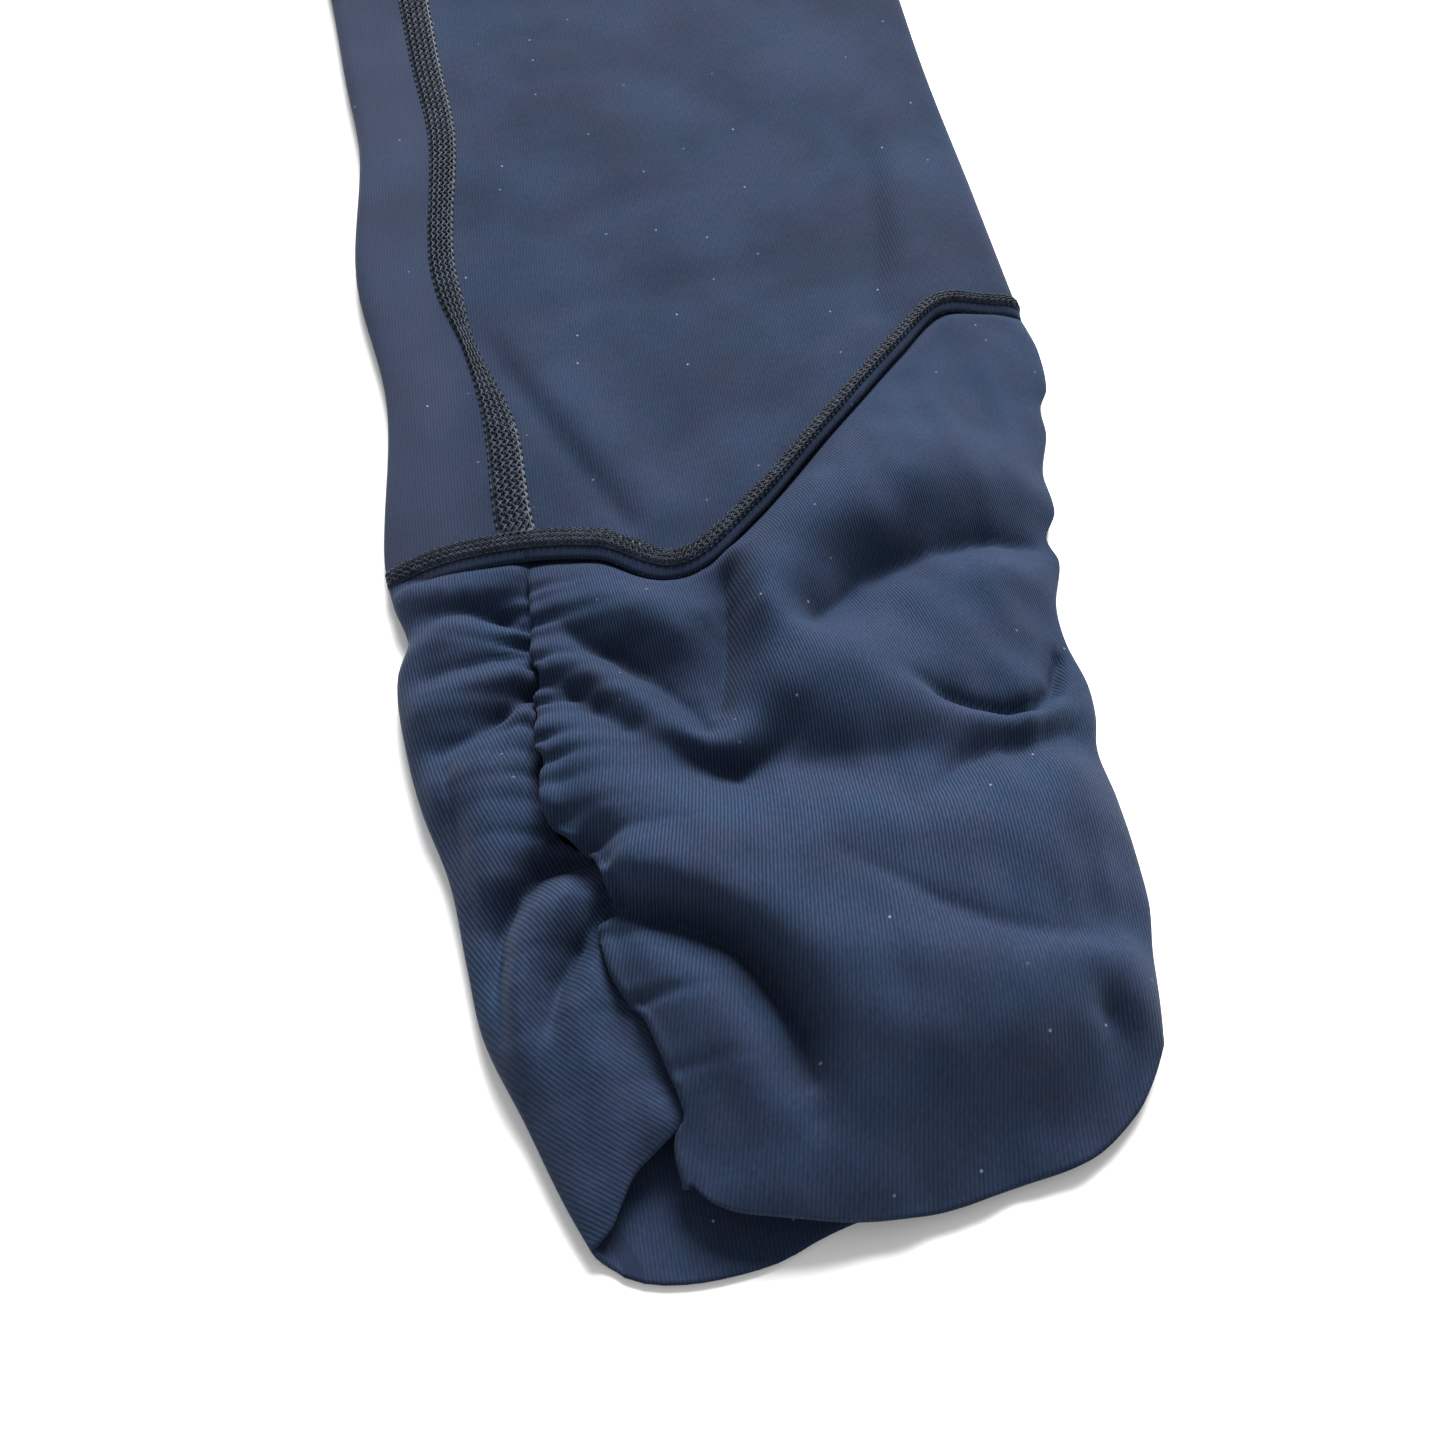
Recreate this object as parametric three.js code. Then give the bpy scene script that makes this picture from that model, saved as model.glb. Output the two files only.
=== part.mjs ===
// Leggings in a fine stretch knit with a gathered cuff on each leg, laid flat with the front up.
// Millimetres. The waist points to +Y, the hems to -Y, and the garment lies on z = 0.
// The wearer's left leg is on the +X side, and the right leg is its mirror image.
//
// A place on a leg is given in the leg's own directions: `across` from the middle of the leg
// (towards the outer side) and `up` from the middle of the hem (towards the waist).

import * as THREE from 'three';

// ---- Driving dimensions ----

const KNIT = 1.2;               // one layer of the knit
const GAP = 0.3;                // clearance between two pieces that are sewn together
const FOLD_RADIUS = 2.5;        // outside of the fold along each side, so a flat leg is 5 thick
const SEAM_RAISE = 0.4;         // how far a flatlock seam stands out of the cloth
const SEAM_HALF = 1.65;         // half the width of the flatlock round the cuff and the waist
const INSEAM_HALF = 3;          // half the width of the flatlock along the inseam and the rises
const CROTCH_DRAW_IN = 0.4;     // how much less than that the inseam's half width is at the crotch

const LENGTH = 980;             // lowest point of a hem to the top of the back waist
const LEG_LEAN = THREE.MathUtils.degToRad(3);
const HEM_OUT = 149;            // middle of a hem, out from the middle of the garment
const HEM_DIP = 1.2;            // the lowest point of the hem is this far below its middle
const CROTCH_UP = 710;          // inseam, from the hem's middle
const CUFF_REACH = 185;         // above this level the leg lies fully flat

const HIP_HALF = 205;           // half of the flat hip
const SEAT_HALF = 207;          // half of the widest place of the seat
const WAIST_SEAM_HALF = 178;    // half of the flat width where the waistband is sewn on
const WAIST_HALF = 170;         // half of the flat waist
const BAND_DEEP = 80;           // waistband, from its seam to its top edge
const FRONT_WAIST_UP = 948;     // top of the waistband over the middle of a hem
const BACK_WAIST_UP = LENGTH - HEM_DIP;

const FRONT_STEPS = 12;         // divisions across the front of a leg
const BACK_STEPS = 6;           // divisions across the back of a leg
const FOLD_STEPS = 3;           // divisions round the outer fold
const WAIST_STEPS = 20;         // divisions across each side of the waistband

const HEM_LEVEL = HEM_DIP - LENGTH / 2;
const UPRIGHT = Math.PI / 2;
const HALF_FOLD = UPRIGHT * FOLD_RADIUS;
const FLAT_TOP = 2 * FOLD_RADIUS;

// ---- Small helpers ----

const { lerp, clamp, smoothstep } = THREE.MathUtils;

const inSteps = (count) => Array.from({ length: count + 1 }, (_, step) => step / count);

// A smooth function through [input, value] points, level beyond both ends.
function through(points) {
  const slopeAt = (i) => {
    const before = points[Math.max(i - 1, 0)];
    const after = points[Math.min(i + 1, points.length - 1)];
    return (after[1] - before[1]) / (after[0] - before[0]);
  };
  return (input) => {
    const x = clamp(input, points[0][0], points[points.length - 1][0]);
    const last = Math.max(points.findIndex((point) => point[0] >= x), 1);
    const [x0, y0] = points[last - 1];
    const [x1, y1] = points[last];
    const span = x1 - x0;
    const t = (x - x0) / span;
    const startPull = slopeAt(last - 1) * span * t * (1 - t) * (1 - t);
    const endPull = slopeAt(last) * span * t * t * (1 - t);
    return lerp(y0, y1, t * t * (3 - 2 * t)) + startPull - endPull;
  };
}

// ---- Outlines of a leg, as [up, across] ----

const innerFold = through([
  [3, -33], [23, -41], [46, -47], [72, -52], [90, -54], [100, -52.5], [112, -54.5], [150, -53],
  [181, -57], [213, -55], [263, -59], [330, -66], [400, -70], [500, -80], [600, -93],
  [CROTCH_UP, -110.5],
]);
const outerFold = through([
  [20, 46.5], [49, 51], [62, 50], [75, 52], [87, 51], [100, 54], [116, 56], [133, 61], [142, 63],
  [152, 61.5], [244, 59.5], [330, 64], [400, 70], [500, 76], [600, 84], [CROTCH_UP, 93.3],
]);
// The inseam lies on the front, this far round from the middle of the inner fold.
const CUFF_START = 112;         // level where the inseam ends and the gathered seam goes on from it
const inseamTurn = through([
  [CUFF_START, 24], [134, 22], [158, 18], [196, 17.9], [263, 18.5], [350, 21], [450, 22], [620, 16],
  [CROTCH_UP, 0],
]);
// The gathered seam of the cuff, from the hem up to the inseam.
const gatheredSeam = through([
  [14, -24], [19, -20.5], [30, -22.5], [44, -27.5], [53, -28], [64, -33.5], [76, -32.5], [100, -31],
  [CUFF_START, -31.9],
]);

// ---- Ends of the cuff ----

// Level of the seam between leg and cuff, against the place across: front and back.
const cuffTopFront = through([
  [-54.5, 112.5], [-40, 113.3], [-20, 111], [-8, 105], [5, 113.3], [20, 128.3], [36, 144.5],
  [45, 152.5], [55, 153],
]);
const cuffTopBack = through([[-54.5, 112.5], [-30, 114], [0, 130], [30, 149], [55, 154]]);
// Level of the hem, against the fraction of the way across each part of the cuff.
const hemFront = through([
  [0, 14], [0.05, 9.5], [0.17, 6], [0.33, 3.5], [0.62, 5], [0.79, 7], [0.9, 12], [1, 20],
]);
const hemBack = through([[0, 20], [0.12, 14], [0.25, 10], [0.45, 6], [0.62, 3], [0.82, 0], [1, 3]]);
const hemFlap = through([[0, 3], [1, 14]]);

// ---- Height of the front of the cuff ----

// Crests and troughs of the gathered cloth, each a line of [across, up, height] points.
const FOLDS = {
  seamWithLeg: [[-50, 112, 6], [-30, 112, 9], [-8, 105, 10], [10, 118, 10], [30, 140, 9],
    [56, 154, 6]],
  hem: [[-33, 6, 6], [-24, 14, 8], [-12, 7, 8], [10, 5, 8], [32, 8, 7.5], [45, 20, 6]],
  gatheredSeam: [[-31, 104, 8], [-32, 76, 8], [-31, 59, 8], [-27, 46, 8], [-22, 28, 8]],
  highPleat: [[2, 104, 14], [3, 94, 16], [16, 82, 15], [24, 72, 13]],
  besideHighPleat: [[-1, 102, 10], [-4, 79, 9.5]],
  upperTrough: [[-26, 98, 8], [-16, 90, 9], [-6, 80, 9]],
  upperRoll: [[-29, 86, 11], [-17, 81, 14], [-7, 71, 12]],
  pocket: [[-13, 73, 9.5], [-7, 65, 9], [4, 65, 9], [25, 67, 10]],
  mainRoll: [[-28, 63, 12], [-20, 56, 18], [-7, 50, 21], [10, 42, 22], [27, 35, 19], [45, 36, 11]],
  aboveMainRoll: [[23, 47, 15], [32, 43, 14], [46, 46, 8]],
  deepTrough: [[-28, 56, 8], [-21, 49, 8.5], [-8, 40, 9], [1, 27, 9.5], [2, 20, 9]],
  lowerRoll: [[-23, 44, 10], [-15, 37, 13], [-5, 25, 13], [-1, 12, 10]],
  lowerRight: [[12, 18, 14], [26, 16, 11], [40, 22, 8]],
  sideTrough: [[51, 103, 7], [31, 100, 10], [17, 93, 12]],
  sideRoll: [[50, 96, 9], [36, 96, 14], [18, 88, 15]],
  upperRight: [[54, 117, 7.5], [35, 115, 12], [20, 112, 12]],
  bowl: [[29, 71, 10], [39, 69, 9.5], [47, 80, 8]],
  bowlCrest: [[32, 84, 14], [41, 78, 13]],
  underBowl: [[47, 62, 8], [32, 61, 12], [23, 58, 14]],
  flapRolls: [[-48, 92, 7], [-39, 95, 8.5], [-46, 84, 6], [-40, 74, 9], [-44, 60, 7.5],
    [-37, 58, 9.5], [-44, 44, 5.5], [-36, 46, 8.5], [-38, 30, 6.5], [-29, 30, 8.5]],
};
const FOLD_LINES = Object.values(FOLDS);
const SPREAD = 3;               // how widely one point of a crest or trough is felt
const EDGE_ROUND = 13;          // width over which the heap rounds down to a side fold

// Height of the gathered cloth: the mean of the crests and troughs, the nearest ones counting most.
function gatheredHeight(across, up) {
  let sum = 0;
  let weights = 0;
  for (const line of FOLD_LINES) {
    for (let i = 1; i < line.length; i += 1) {
      const [a0, u0, h0] = line[i - 1];
      const [a1, u1, h1] = line[i];
      const along = (across - a0) * (a1 - a0) + (up - u0) * (u1 - u0);
      const t = clamp(along / ((a1 - a0) ** 2 + (u1 - u0) ** 2), 0, 1);
      const away = Math.hypot(across - lerp(a0, a1, t), up - lerp(u0, u1, t));
      const weight = 1 / (away * away + SPREAD * SPREAD) ** 2;
      sum += weight * lerp(h0, h1, t);
      weights += weight;
    }
  }
  return sum / weights;
}

// Height of the front anywhere on a leg: gathered on the cuff, calming down to flat above it.
function frontHeight(across, up) {
  const seam = cuffTopFront(across);
  const calm = Math.exp(-((Math.max(up - seam, 0) / 26) ** 2));
  const heaped = lerp(FLAT_TOP, gatheredHeight(across, Math.min(up, seam)), calm);
  const fromEdge = Math.min(across - innerFold(up), outerFold(up) - across) - FOLD_RADIUS;
  const rounding = 1 - clamp(fromEdge / EDGE_ROUND, 0, 1);
  return lerp(FLAT_TOP, heaped, Math.sqrt(1 - rounding * rounding));
}

// ---- Places on the garment: a position, and the way out of the cloth there ----

// `outwards` is the way out of the cloth in the leg's own directions: across, up, height.
function onLeg(across, up, height, outwards = [0, 0, 1]) {
  const turned = (a, u, h) => new THREE.Vector3(a, u, h)
    .applyAxisAngle(new THREE.Vector3(0, 0, 1), LEG_LEAN);
  const position = turned(across, up, height).add(new THREE.Vector3(HEM_OUT, HEM_LEVEL, 0));
  return { position, outward: turned(...outwards).normalize() };
}

function onFront(across, up) {
  const slopeAcross = (frontHeight(across + 1, up) - frontHeight(across - 1, up)) / 2;
  const slopeUp = (frontHeight(across, up + 1) - frontHeight(across, up - 1)) / 2;
  return onLeg(across, up, frontHeight(across, up), [-slopeAcross, -slopeUp, 1]);
}

function onBack(across, up) {
  return onLeg(across, up, 0, [0, 0, -1]);
}

// A point round a side fold: `side` is 1 for the outer fold and -1 for the inner one, and the
// angle goes from straight down (-90 degrees) to straight up.
function onFold(side, angle, up) {
  const centre = side > 0 ? outerFold(up) - FOLD_RADIUS : innerFold(up) + FOLD_RADIUS;
  const across = side * Math.cos(angle);
  const height = Math.sin(angle);
  return onLeg(centre + FOLD_RADIUS * across, up, FOLD_RADIUS * (1 + height),
    [across, 0, height]);
}

// A point on the outside of the leg, `turn` round from the middle of the inner fold to the front.
function roundInnerFold(turn, up) {
  const centre = innerFold(up) + FOLD_RADIUS;
  if (turn > HALF_FOLD) {
    return onFront(centre + turn - HALF_FOLD, up);
  }
  if (turn < -HALF_FOLD) {
    return onBack(centre - turn - HALF_FOLD, up);
  }
  return onFold(-1, turn / FOLD_RADIUS, up);
}

// A point over the hips, where the cloth lies flat: `height` is the way out of it, up or down.
function onHip(x, y, height) {
  const position = new THREE.Vector3(x, y, height > 0 ? FLAT_TOP : 0);
  return { position, outward: new THREE.Vector3(0, 0, height) };
}

// A point round a side fold of the hips, whose centre is at x; the angle is as on a leg.
function onHipFold(x, y, angle) {
  const outward = new THREE.Vector3(Math.sign(x) * Math.cos(angle), 0, Math.sin(angle));
  const centre = new THREE.Vector3(x, y, FOLD_RADIUS);
  return { position: centre.addScaledVector(outward, FOLD_RADIUS), outward };
}

// ---- Walls of cloth ----

// Closed body of a wall: `grid` holds rows of places on its outside, running from the front over
// the outer fold to the back. `closed` joins the last column to the first, as round a waist.
function wall(grid, { raise = 0, closed = false } = {}) {
  const rows = grid.length;
  const columns = grid[0].length;
  const positions = [];
  const addLayer = (depthOf) => {
    for (const { position, outward } of grid.flat()) {
      positions.push(...position.clone().addScaledVector(outward, depthOf(outward)));
    }
  };
  addLayer((outward) => raise * clamp(1 + outward.z, 0, 1));
  addLayer(() => -KNIT);

  const faces = [];
  const inner = rows * columns;
  const at = (row, column, layer) => layer + row * columns + (column % columns);
  const quad = (a, b, c, d) => faces.push(a, b, c, a, c, d);
  const lastColumn = closed ? columns : columns - 1;
  for (let column = 0; column < lastColumn; column += 1) {
    for (let row = 0; row < rows - 1; row += 1) {
      quad(at(row, column, 0), at(row, column + 1, 0),
        at(row + 1, column + 1, 0), at(row + 1, column, 0));
      quad(at(row, column, inner), at(row + 1, column, inner),
        at(row + 1, column + 1, inner), at(row, column + 1, inner));
    }
    quad(at(0, column, 0), at(0, column, inner), at(0, column + 1, inner), at(0, column + 1, 0));
    quad(at(rows - 1, column, 0), at(rows - 1, column + 1, 0),
      at(rows - 1, column + 1, inner), at(rows - 1, column, inner));
  }
  if (!closed) {
    for (let row = 0; row < rows - 1; row += 1) {
      quad(at(row, 0, 0), at(row + 1, 0, 0), at(row + 1, 0, inner), at(row, 0, inner));
      quad(at(row, columns - 1, 0), at(row, columns - 1, inner),
        at(row + 1, columns - 1, inner), at(row + 1, columns - 1, 0));
    }
  }
  const geometry = new THREE.BufferGeometry();
  geometry.setAttribute('position', new THREE.Float32BufferAttribute(positions, 3));
  geometry.setIndex(faces);
  return geometry;
}

// The same body on the wearer's right side.
function mirrored(geometry) {
  const other = geometry.clone();
  const positions = other.attributes.position;
  for (let i = 0; i < positions.count; i += 1) {
    positions.setX(i, -positions.getX(i));
  }
  const faces = other.index.array;
  for (let i = 0; i < faces.length; i += 3) {
    [faces[i + 1], faces[i + 2]] = [faces[i + 2], faces[i + 1]];
  }
  return other;
}

// ---- Cloth round a leg ----

// How far the seam lies round from the middle of the inner fold, on leg and cuff alike.
function seamTurn(up) {
  return up > CUFF_START
    ? inseamTurn(up)
    : gatheredSeam(up) - innerFold(up) - FOLD_RADIUS + HALF_FOLD;
}

// Turns round the inner fold where the back of a piece comes up and over to its seam.
const WRAP_START = -12;
const WRAP_TURNS = [WRAP_START, -HALF_FOLD, -HALF_FOLD / 3, HALF_FOLD / 3, HALF_FOLD];
const WRAP_STEPS = 3;

function wrapTurns(seam, halfGap) {
  const end = seam - halfGap;
  if (end < HALF_FOLD + 4) {
    const count = WRAP_TURNS.length + WRAP_STEPS - 1;
    return inSteps(count).map((part) => lerp(WRAP_START, end, part));
  }
  const flap = inSteps(WRAP_STEPS).slice(1, -1).map((part) => lerp(HALF_FOLD, seam, part));
  return [...WRAP_TURNS, ...flap, end];
}

// One row of points round a leg, from the front edge of the seam over the outer fold, along the
// back and over the inner fold to the seam's other edge. `levels` gives the row's level against
// the zone and the part of the way through it.
function rowRound(levels, halfGap) {
  const points = [];
  for (const part of inSteps(FRONT_STEPS)) {
    const up = levels.front(part);
    const seam = innerFold(up) + FOLD_RADIUS + Math.max(seamTurn(up) - HALF_FOLD, 0);
    const across = lerp(seam, outerFold(up) - FOLD_RADIUS, part);
    points.push(part === 0 ? roundInnerFold(seamTurn(up) + halfGap, up) : onFront(across, up));
  }
  for (const part of inSteps(FOLD_STEPS).slice(1)) {
    points.push(onFold(1, lerp(UPRIGHT, -UPRIGHT, part), levels.back(0)));
  }
  for (const part of inSteps(BACK_STEPS).slice(1, -1)) {
    const up = levels.back(part);
    const start = outerFold(up) - FOLD_RADIUS;
    const end = innerFold(up) + FOLD_RADIUS - WRAP_START - HALF_FOLD;
    points.push(onBack(lerp(start, end, part), up));
  }
  const wrapCount = WRAP_TURNS.length + WRAP_STEPS - 1;
  for (let i = 0; i <= wrapCount; i += 1) {
    const part = clamp((i - WRAP_TURNS.length + 1) / WRAP_STEPS, 0, 1);
    const up = i === 0 ? levels.back(1) : levels.wrap(part);
    points.push(roundInnerFold(wrapTurns(seamTurn(up), halfGap)[i], up));
  }
  return points;
}

// Levels of the seam between leg and cuff for each part of a row, `shift` above it.
function alongCuffTop(shift) {
  const seam = gatheredSeam(CUFF_START);
  const inner = innerFold(CUFF_START);
  const outer = outerFold(CUFF_START);
  return {
    front: (part) => cuffTopFront(lerp(seam, outer, part)) + shift,
    back: (part) => cuffTopBack(lerp(outer, inner, part)) + shift,
    wrap: (part) => cuffTopFront(lerp(inner, seam, part)) + shift,
  };
}

function betweenLevels(low, high, part) {
  const mix = (zone) => (place) => lerp(low[zone](place), high[zone](place), part);
  return { front: mix('front'), back: mix('back'), wrap: mix('wrap') };
}

const levelAt = (up) => ({ front: () => up, back: () => up, wrap: () => up });
const seamEdge = SEAM_HALF + GAP;

// ---- Hips ----

const hipHalf = through([[0, HIP_HALF], [0.35, SEAT_HALF], [0.7, 195], [1, WAIST_SEAM_HALF]]);
const waistHalf = (part) => lerp(WAIST_SEAM_HALF, WAIST_HALF, part);

// Level of the waist seam: `side` is 0 at the middle and 1 at the side fold.
function waistSeamLevel(side, isFront) {
  const centre = (isFront ? FRONT_WAIST_UP : BACK_WAIST_UP) - BAND_DEEP;
  const middle = (FRONT_WAIST_UP + BACK_WAIST_UP) / 2 - BAND_DEEP;
  return HEM_LEVEL + lerp(centre, middle, smoothstep(side, 0, 1));
}

// Level of a row of the hips, `part` of the way from the crotch to the waist seam.
function hipLevel(side, isFront, part) {
  const inner = onFold(-1, 0, CROTCH_UP).position.y;
  const outer = onFold(1, 0, CROTCH_UP).position.y;
  return lerp(lerp(inner, outer, side), waistSeamLevel(side, isFront) - seamEdge, part);
}

// One row of points over half of the hips, from the front rise over the side to the back rise.
function rowOverHip(part) {
  const edge = INSEAM_HALF + GAP;
  const side = hipHalf(part) - FOLD_RADIUS;
  const points = inSteps(FRONT_STEPS).map((place) => (
    onHip(lerp(edge, side, place), hipLevel(place, true, part), 1)));
  for (const turn of inSteps(FOLD_STEPS).slice(1)) {
    points.push(onHipFold(side, hipLevel(1, true, part), lerp(UPRIGHT, -UPRIGHT, turn)));
  }
  const wrapEnd = edge - WRAP_START - HALF_FOLD;
  for (const place of inSteps(BACK_STEPS).slice(1, -1)) {
    const x = lerp(side, wrapEnd, place);
    points.push(onHip(x, hipLevel(x / side, false, part), -1));
  }
  for (const place of inSteps(WRAP_TURNS.length + WRAP_STEPS - 1)) {
    const x = lerp(wrapEnd, edge, place);
    points.push(onHip(x, hipLevel(x / side, false, part), -1));
  }
  return points;
}

// ---- The pieces ----

const LEG_LEVELS = [240, 310, 390, 480, 570, 640, 685, CROTCH_UP];
const BLEND_PARTS = [0, 0.12, 0.35, 0.65, 1];
const HIP_PARTS = [0.1, 0.3, 0.55, 0.8, 1];

function legPanel() {
  const halfGap = INSEAM_HALF + GAP;
  const low = alongCuffTop(seamEdge);
  const blended = BLEND_PARTS.map((part) => betweenLevels(low, levelAt(CUFF_REACH), part));
  const rows = [...blended, ...LEG_LEVELS.map(levelAt)];
  const legRows = rows.map((levels) => rowRound(levels, halfGap));
  return wall([...legRows, ...HIP_PARTS.map(rowOverHip)]);
}

// The inseam draws in a little where it turns over the inner fold into the crotch.
function inseam() {
  const low = alongCuffTop(seamEdge);
  const levels = BLEND_PARTS.map((part) => lerp(low.front(0), CUFF_REACH, part));
  const grid = [...levels, ...LEG_LEVELS].map((up) => inSteps(3).map((part) => {
    const half = INSEAM_HALF - CROTCH_DRAW_IN * smoothstep(up, CROTCH_UP - 130, CROTCH_UP - 30);
    const turn = seamTurn(up) + lerp(-half, half, part);
    return roundInnerFold(turn, up);
  }));
  return wall(grid, { raise: SEAM_RAISE });
}

function cuffSeam() {
  const grid = [-SEAM_HALF, SEAM_HALF].map((shift) => (
    rowRound(alongCuffTop(shift), 0).slice(0, -1)));
  return wall(grid, { raise: SEAM_RAISE, closed: true });
}

const CUFF_PARTS = inSteps(15);

function cuff() {
  const low = { front: hemFront, back: hemBack, wrap: hemFlap };
  const high = alongCuffTop(-seamEdge);
  const grid = CUFF_PARTS.map((part) => (
    rowRound(betweenLevels(low, high, part), GAP / 2)));
  return wall(grid);
}

// A seam along the middle of the garment, on the front or on the back.
function riseSeam(isFront) {
  const low = onFold(-1, 0, CROTCH_UP).position.y + INSEAM_HALF;
  const high = waistSeamLevel(0, isFront) - seamEdge;
  const up = isFront ? 1 : -1;
  const ends = [-INSEAM_HALF * up, INSEAM_HALF * up];
  return wall([low, high].map((y) => ends.map((x) => onHip(x, y, up))), { raise: SEAM_RAISE });
}

// A ring round the waist, with rows at the given shifts above the waist seam.
function waistRing(rows, raise) {
  const grid = rows.map(({ shift, half }) => {
    const side = half - FOLD_RADIUS;
    const row = [];
    for (const isFront of [true, false]) {
      const way = isFront ? 1 : -1;
      for (const part of inSteps(WAIST_STEPS)) {
        const x = way * lerp(-side, side, part);
        row.push(onHip(x, waistSeamLevel(Math.abs(x) / side, isFront) + shift, way));
      }
      for (const part of inSteps(FOLD_STEPS).slice(1, -1)) {
        const angle = way * lerp(UPRIGHT, -UPRIGHT, part);
        row.push(onHipFold(way * side, waistSeamLevel(1, true) + shift, angle));
      }
    }
    return row;
  });
  return wall(grid, { raise, closed: true });
}

function waistSeam() {
  const rows = [-SEAM_HALF, SEAM_HALF].map((shift) => ({ shift, half: WAIST_SEAM_HALF }));
  return waistRing(rows, SEAM_RAISE);
}

function waistband() {
  const rows = inSteps(3).map((part) => ({
    shift: lerp(seamEdge, BAND_DEEP, part), half: waistHalf(part),
  }));
  return waistRing(rows, 0);
}

// ---- Materials and assembly ----

const knit = new THREE.MeshStandardMaterial({ color: 0x424c67, roughness: 0.9, metalness: 0 });
const stitching = new THREE.MeshStandardMaterial({ color: 0x32405a, roughness: 0.75, metalness: 0 });

const leggings = new THREE.Group();

function add(name, geometry, material) {
  const piece = new THREE.Mesh(geometry, material);
  piece.name = name;
  leggings.add(piece);
}

const LEG_PIECES = {
  leg: [legPanel(), knit],
  cuff: [cuff(), knit],
  inseam: [inseam(), stitching],
  cuff_seam: [cuffSeam(), stitching],
};
for (const [name, [geometry, material]] of Object.entries(LEG_PIECES)) {
  add(`${name}_left`, geometry, material);
  add(`${name}_right`, mirrored(geometry), material);
}
add('front_rise_seam', riseSeam(true), stitching);
add('back_rise_seam', riseSeam(false), stitching);
add('waist_seam', waistSeam(), stitching);
add('waistband', waistband(), knit);

export default leggings;
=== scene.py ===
"""Leggings in a fine stretch knit with a gathered cuff on each leg, laid flat with the front up.

The cloth is worked out in millimetres in a leg's own directions: `across` from the middle of the
leg towards its outer side, and `up` from the middle of the hem towards the waist. The wearer's
left leg lies on the +X side, and the right leg is its mirror image.
"""

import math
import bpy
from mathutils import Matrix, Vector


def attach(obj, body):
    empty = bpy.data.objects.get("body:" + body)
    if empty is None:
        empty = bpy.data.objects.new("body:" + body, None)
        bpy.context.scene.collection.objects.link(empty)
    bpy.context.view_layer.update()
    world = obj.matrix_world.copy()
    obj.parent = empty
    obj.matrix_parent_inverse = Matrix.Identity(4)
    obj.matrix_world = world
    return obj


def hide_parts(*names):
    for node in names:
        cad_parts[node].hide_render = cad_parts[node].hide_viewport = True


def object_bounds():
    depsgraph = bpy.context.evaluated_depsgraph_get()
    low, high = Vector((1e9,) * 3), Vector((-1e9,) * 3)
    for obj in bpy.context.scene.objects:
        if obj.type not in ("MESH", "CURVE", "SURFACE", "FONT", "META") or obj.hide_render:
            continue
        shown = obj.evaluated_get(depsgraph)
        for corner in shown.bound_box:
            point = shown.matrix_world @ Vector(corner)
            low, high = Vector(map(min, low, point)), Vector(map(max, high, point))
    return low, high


bl_info = {
    "name": "Gathered-cuff Leggings",
    "version": (1, 0, 0),
    "blender": (4, 5, 0),
    "location": "View3D > Sidebar > Leggings",
    "description": "Knit leggings laid flat, with flatlock seams and gathered cuffs",
    "category": "Add Mesh",
}

import bpy
import numpy as np
from mathutils import Matrix, Vector

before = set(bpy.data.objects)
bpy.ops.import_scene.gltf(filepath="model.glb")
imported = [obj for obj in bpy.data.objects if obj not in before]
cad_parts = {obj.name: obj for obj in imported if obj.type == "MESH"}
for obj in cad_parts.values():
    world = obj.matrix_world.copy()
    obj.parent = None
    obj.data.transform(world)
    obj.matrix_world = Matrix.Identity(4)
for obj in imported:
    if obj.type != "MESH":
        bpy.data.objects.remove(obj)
CAD_LOW, CAD_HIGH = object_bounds()

MM = 0.001
BODY = "root"

# ---- Sizes of the garment, in millimetres ----

GARMENT_LENGTH = (CAD_HIGH.y - CAD_LOW.y) / MM
HEM_DIP = 0.56
HEM_LEVEL = CAD_LOW.y / MM + HEM_DIP
HEM_OUT = 149.0
LEG_LEAN = math.radians(3)
CROTCH_UP = 710.0
FOLD_RADIUS = 2.5
FLAT_TOP = 2 * FOLD_RADIUS
QUARTER = math.pi / 2 * FOLD_RADIUS
CUFF_START = 112.0
OUTER_SEAM_UP = 154.0   # level of the seam between leg and cuff at the outer fold
GATHER_TOP = -31.9      # place across of the gathered seam's upper end, where the inseam goes on
CLOTH_LIFT = 0.9        # how far the leg's lower edge stands above the seam beside it

BAND_DEEP = 80.0
FRONT_WAIST_UP = 948.0
BACK_WAIST_UP = GARMENT_LENGTH - HEM_DIP
WAIST_SEAM_HALF = 178.0
WAIST_HALF = 170.0

INSEAM_HALF = 3.0
SEAM_HALF = 1.65
BACK_SEAM_GAP = 1.75    # from the middle of the seam on a cuff's back to the cloth beside it


# ---- Small helpers ----


def through(points):
    """A smooth function through [input, value] points: on each span a cubic whose slopes at the
    points are those of the chords between their neighbours. It is level beyond both ends."""
    xs, ys = np.array(points, float).T
    ahead = np.minimum(np.arange(len(xs)) + 1, len(xs) - 1)
    behind = np.maximum(np.arange(len(xs)) - 1, 0)
    slopes = (ys[ahead] - ys[behind]) / (xs[ahead] - xs[behind])

    def value(x):
        x = np.clip(x, xs[0], xs[-1])
        i = np.clip(np.searchsorted(xs, x) - 1, 0, len(xs) - 2)
        span = xs[i + 1] - xs[i]
        t = (x - xs[i]) / span
        level = ys[i] + (ys[i + 1] - ys[i]) * t * t * (3 - 2 * t)
        pull = slopes[i] * (1 - t) - slopes[i + 1] * t
        return level + span * t * (1 - t) * pull

    return value


def smooth(x, low, high):
    """0 below low and 1 above high, with a soft turn at both."""
    t = np.clip((x - low) / (high - low), 0, 1)
    return t * t * (3 - 2 * t)


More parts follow.
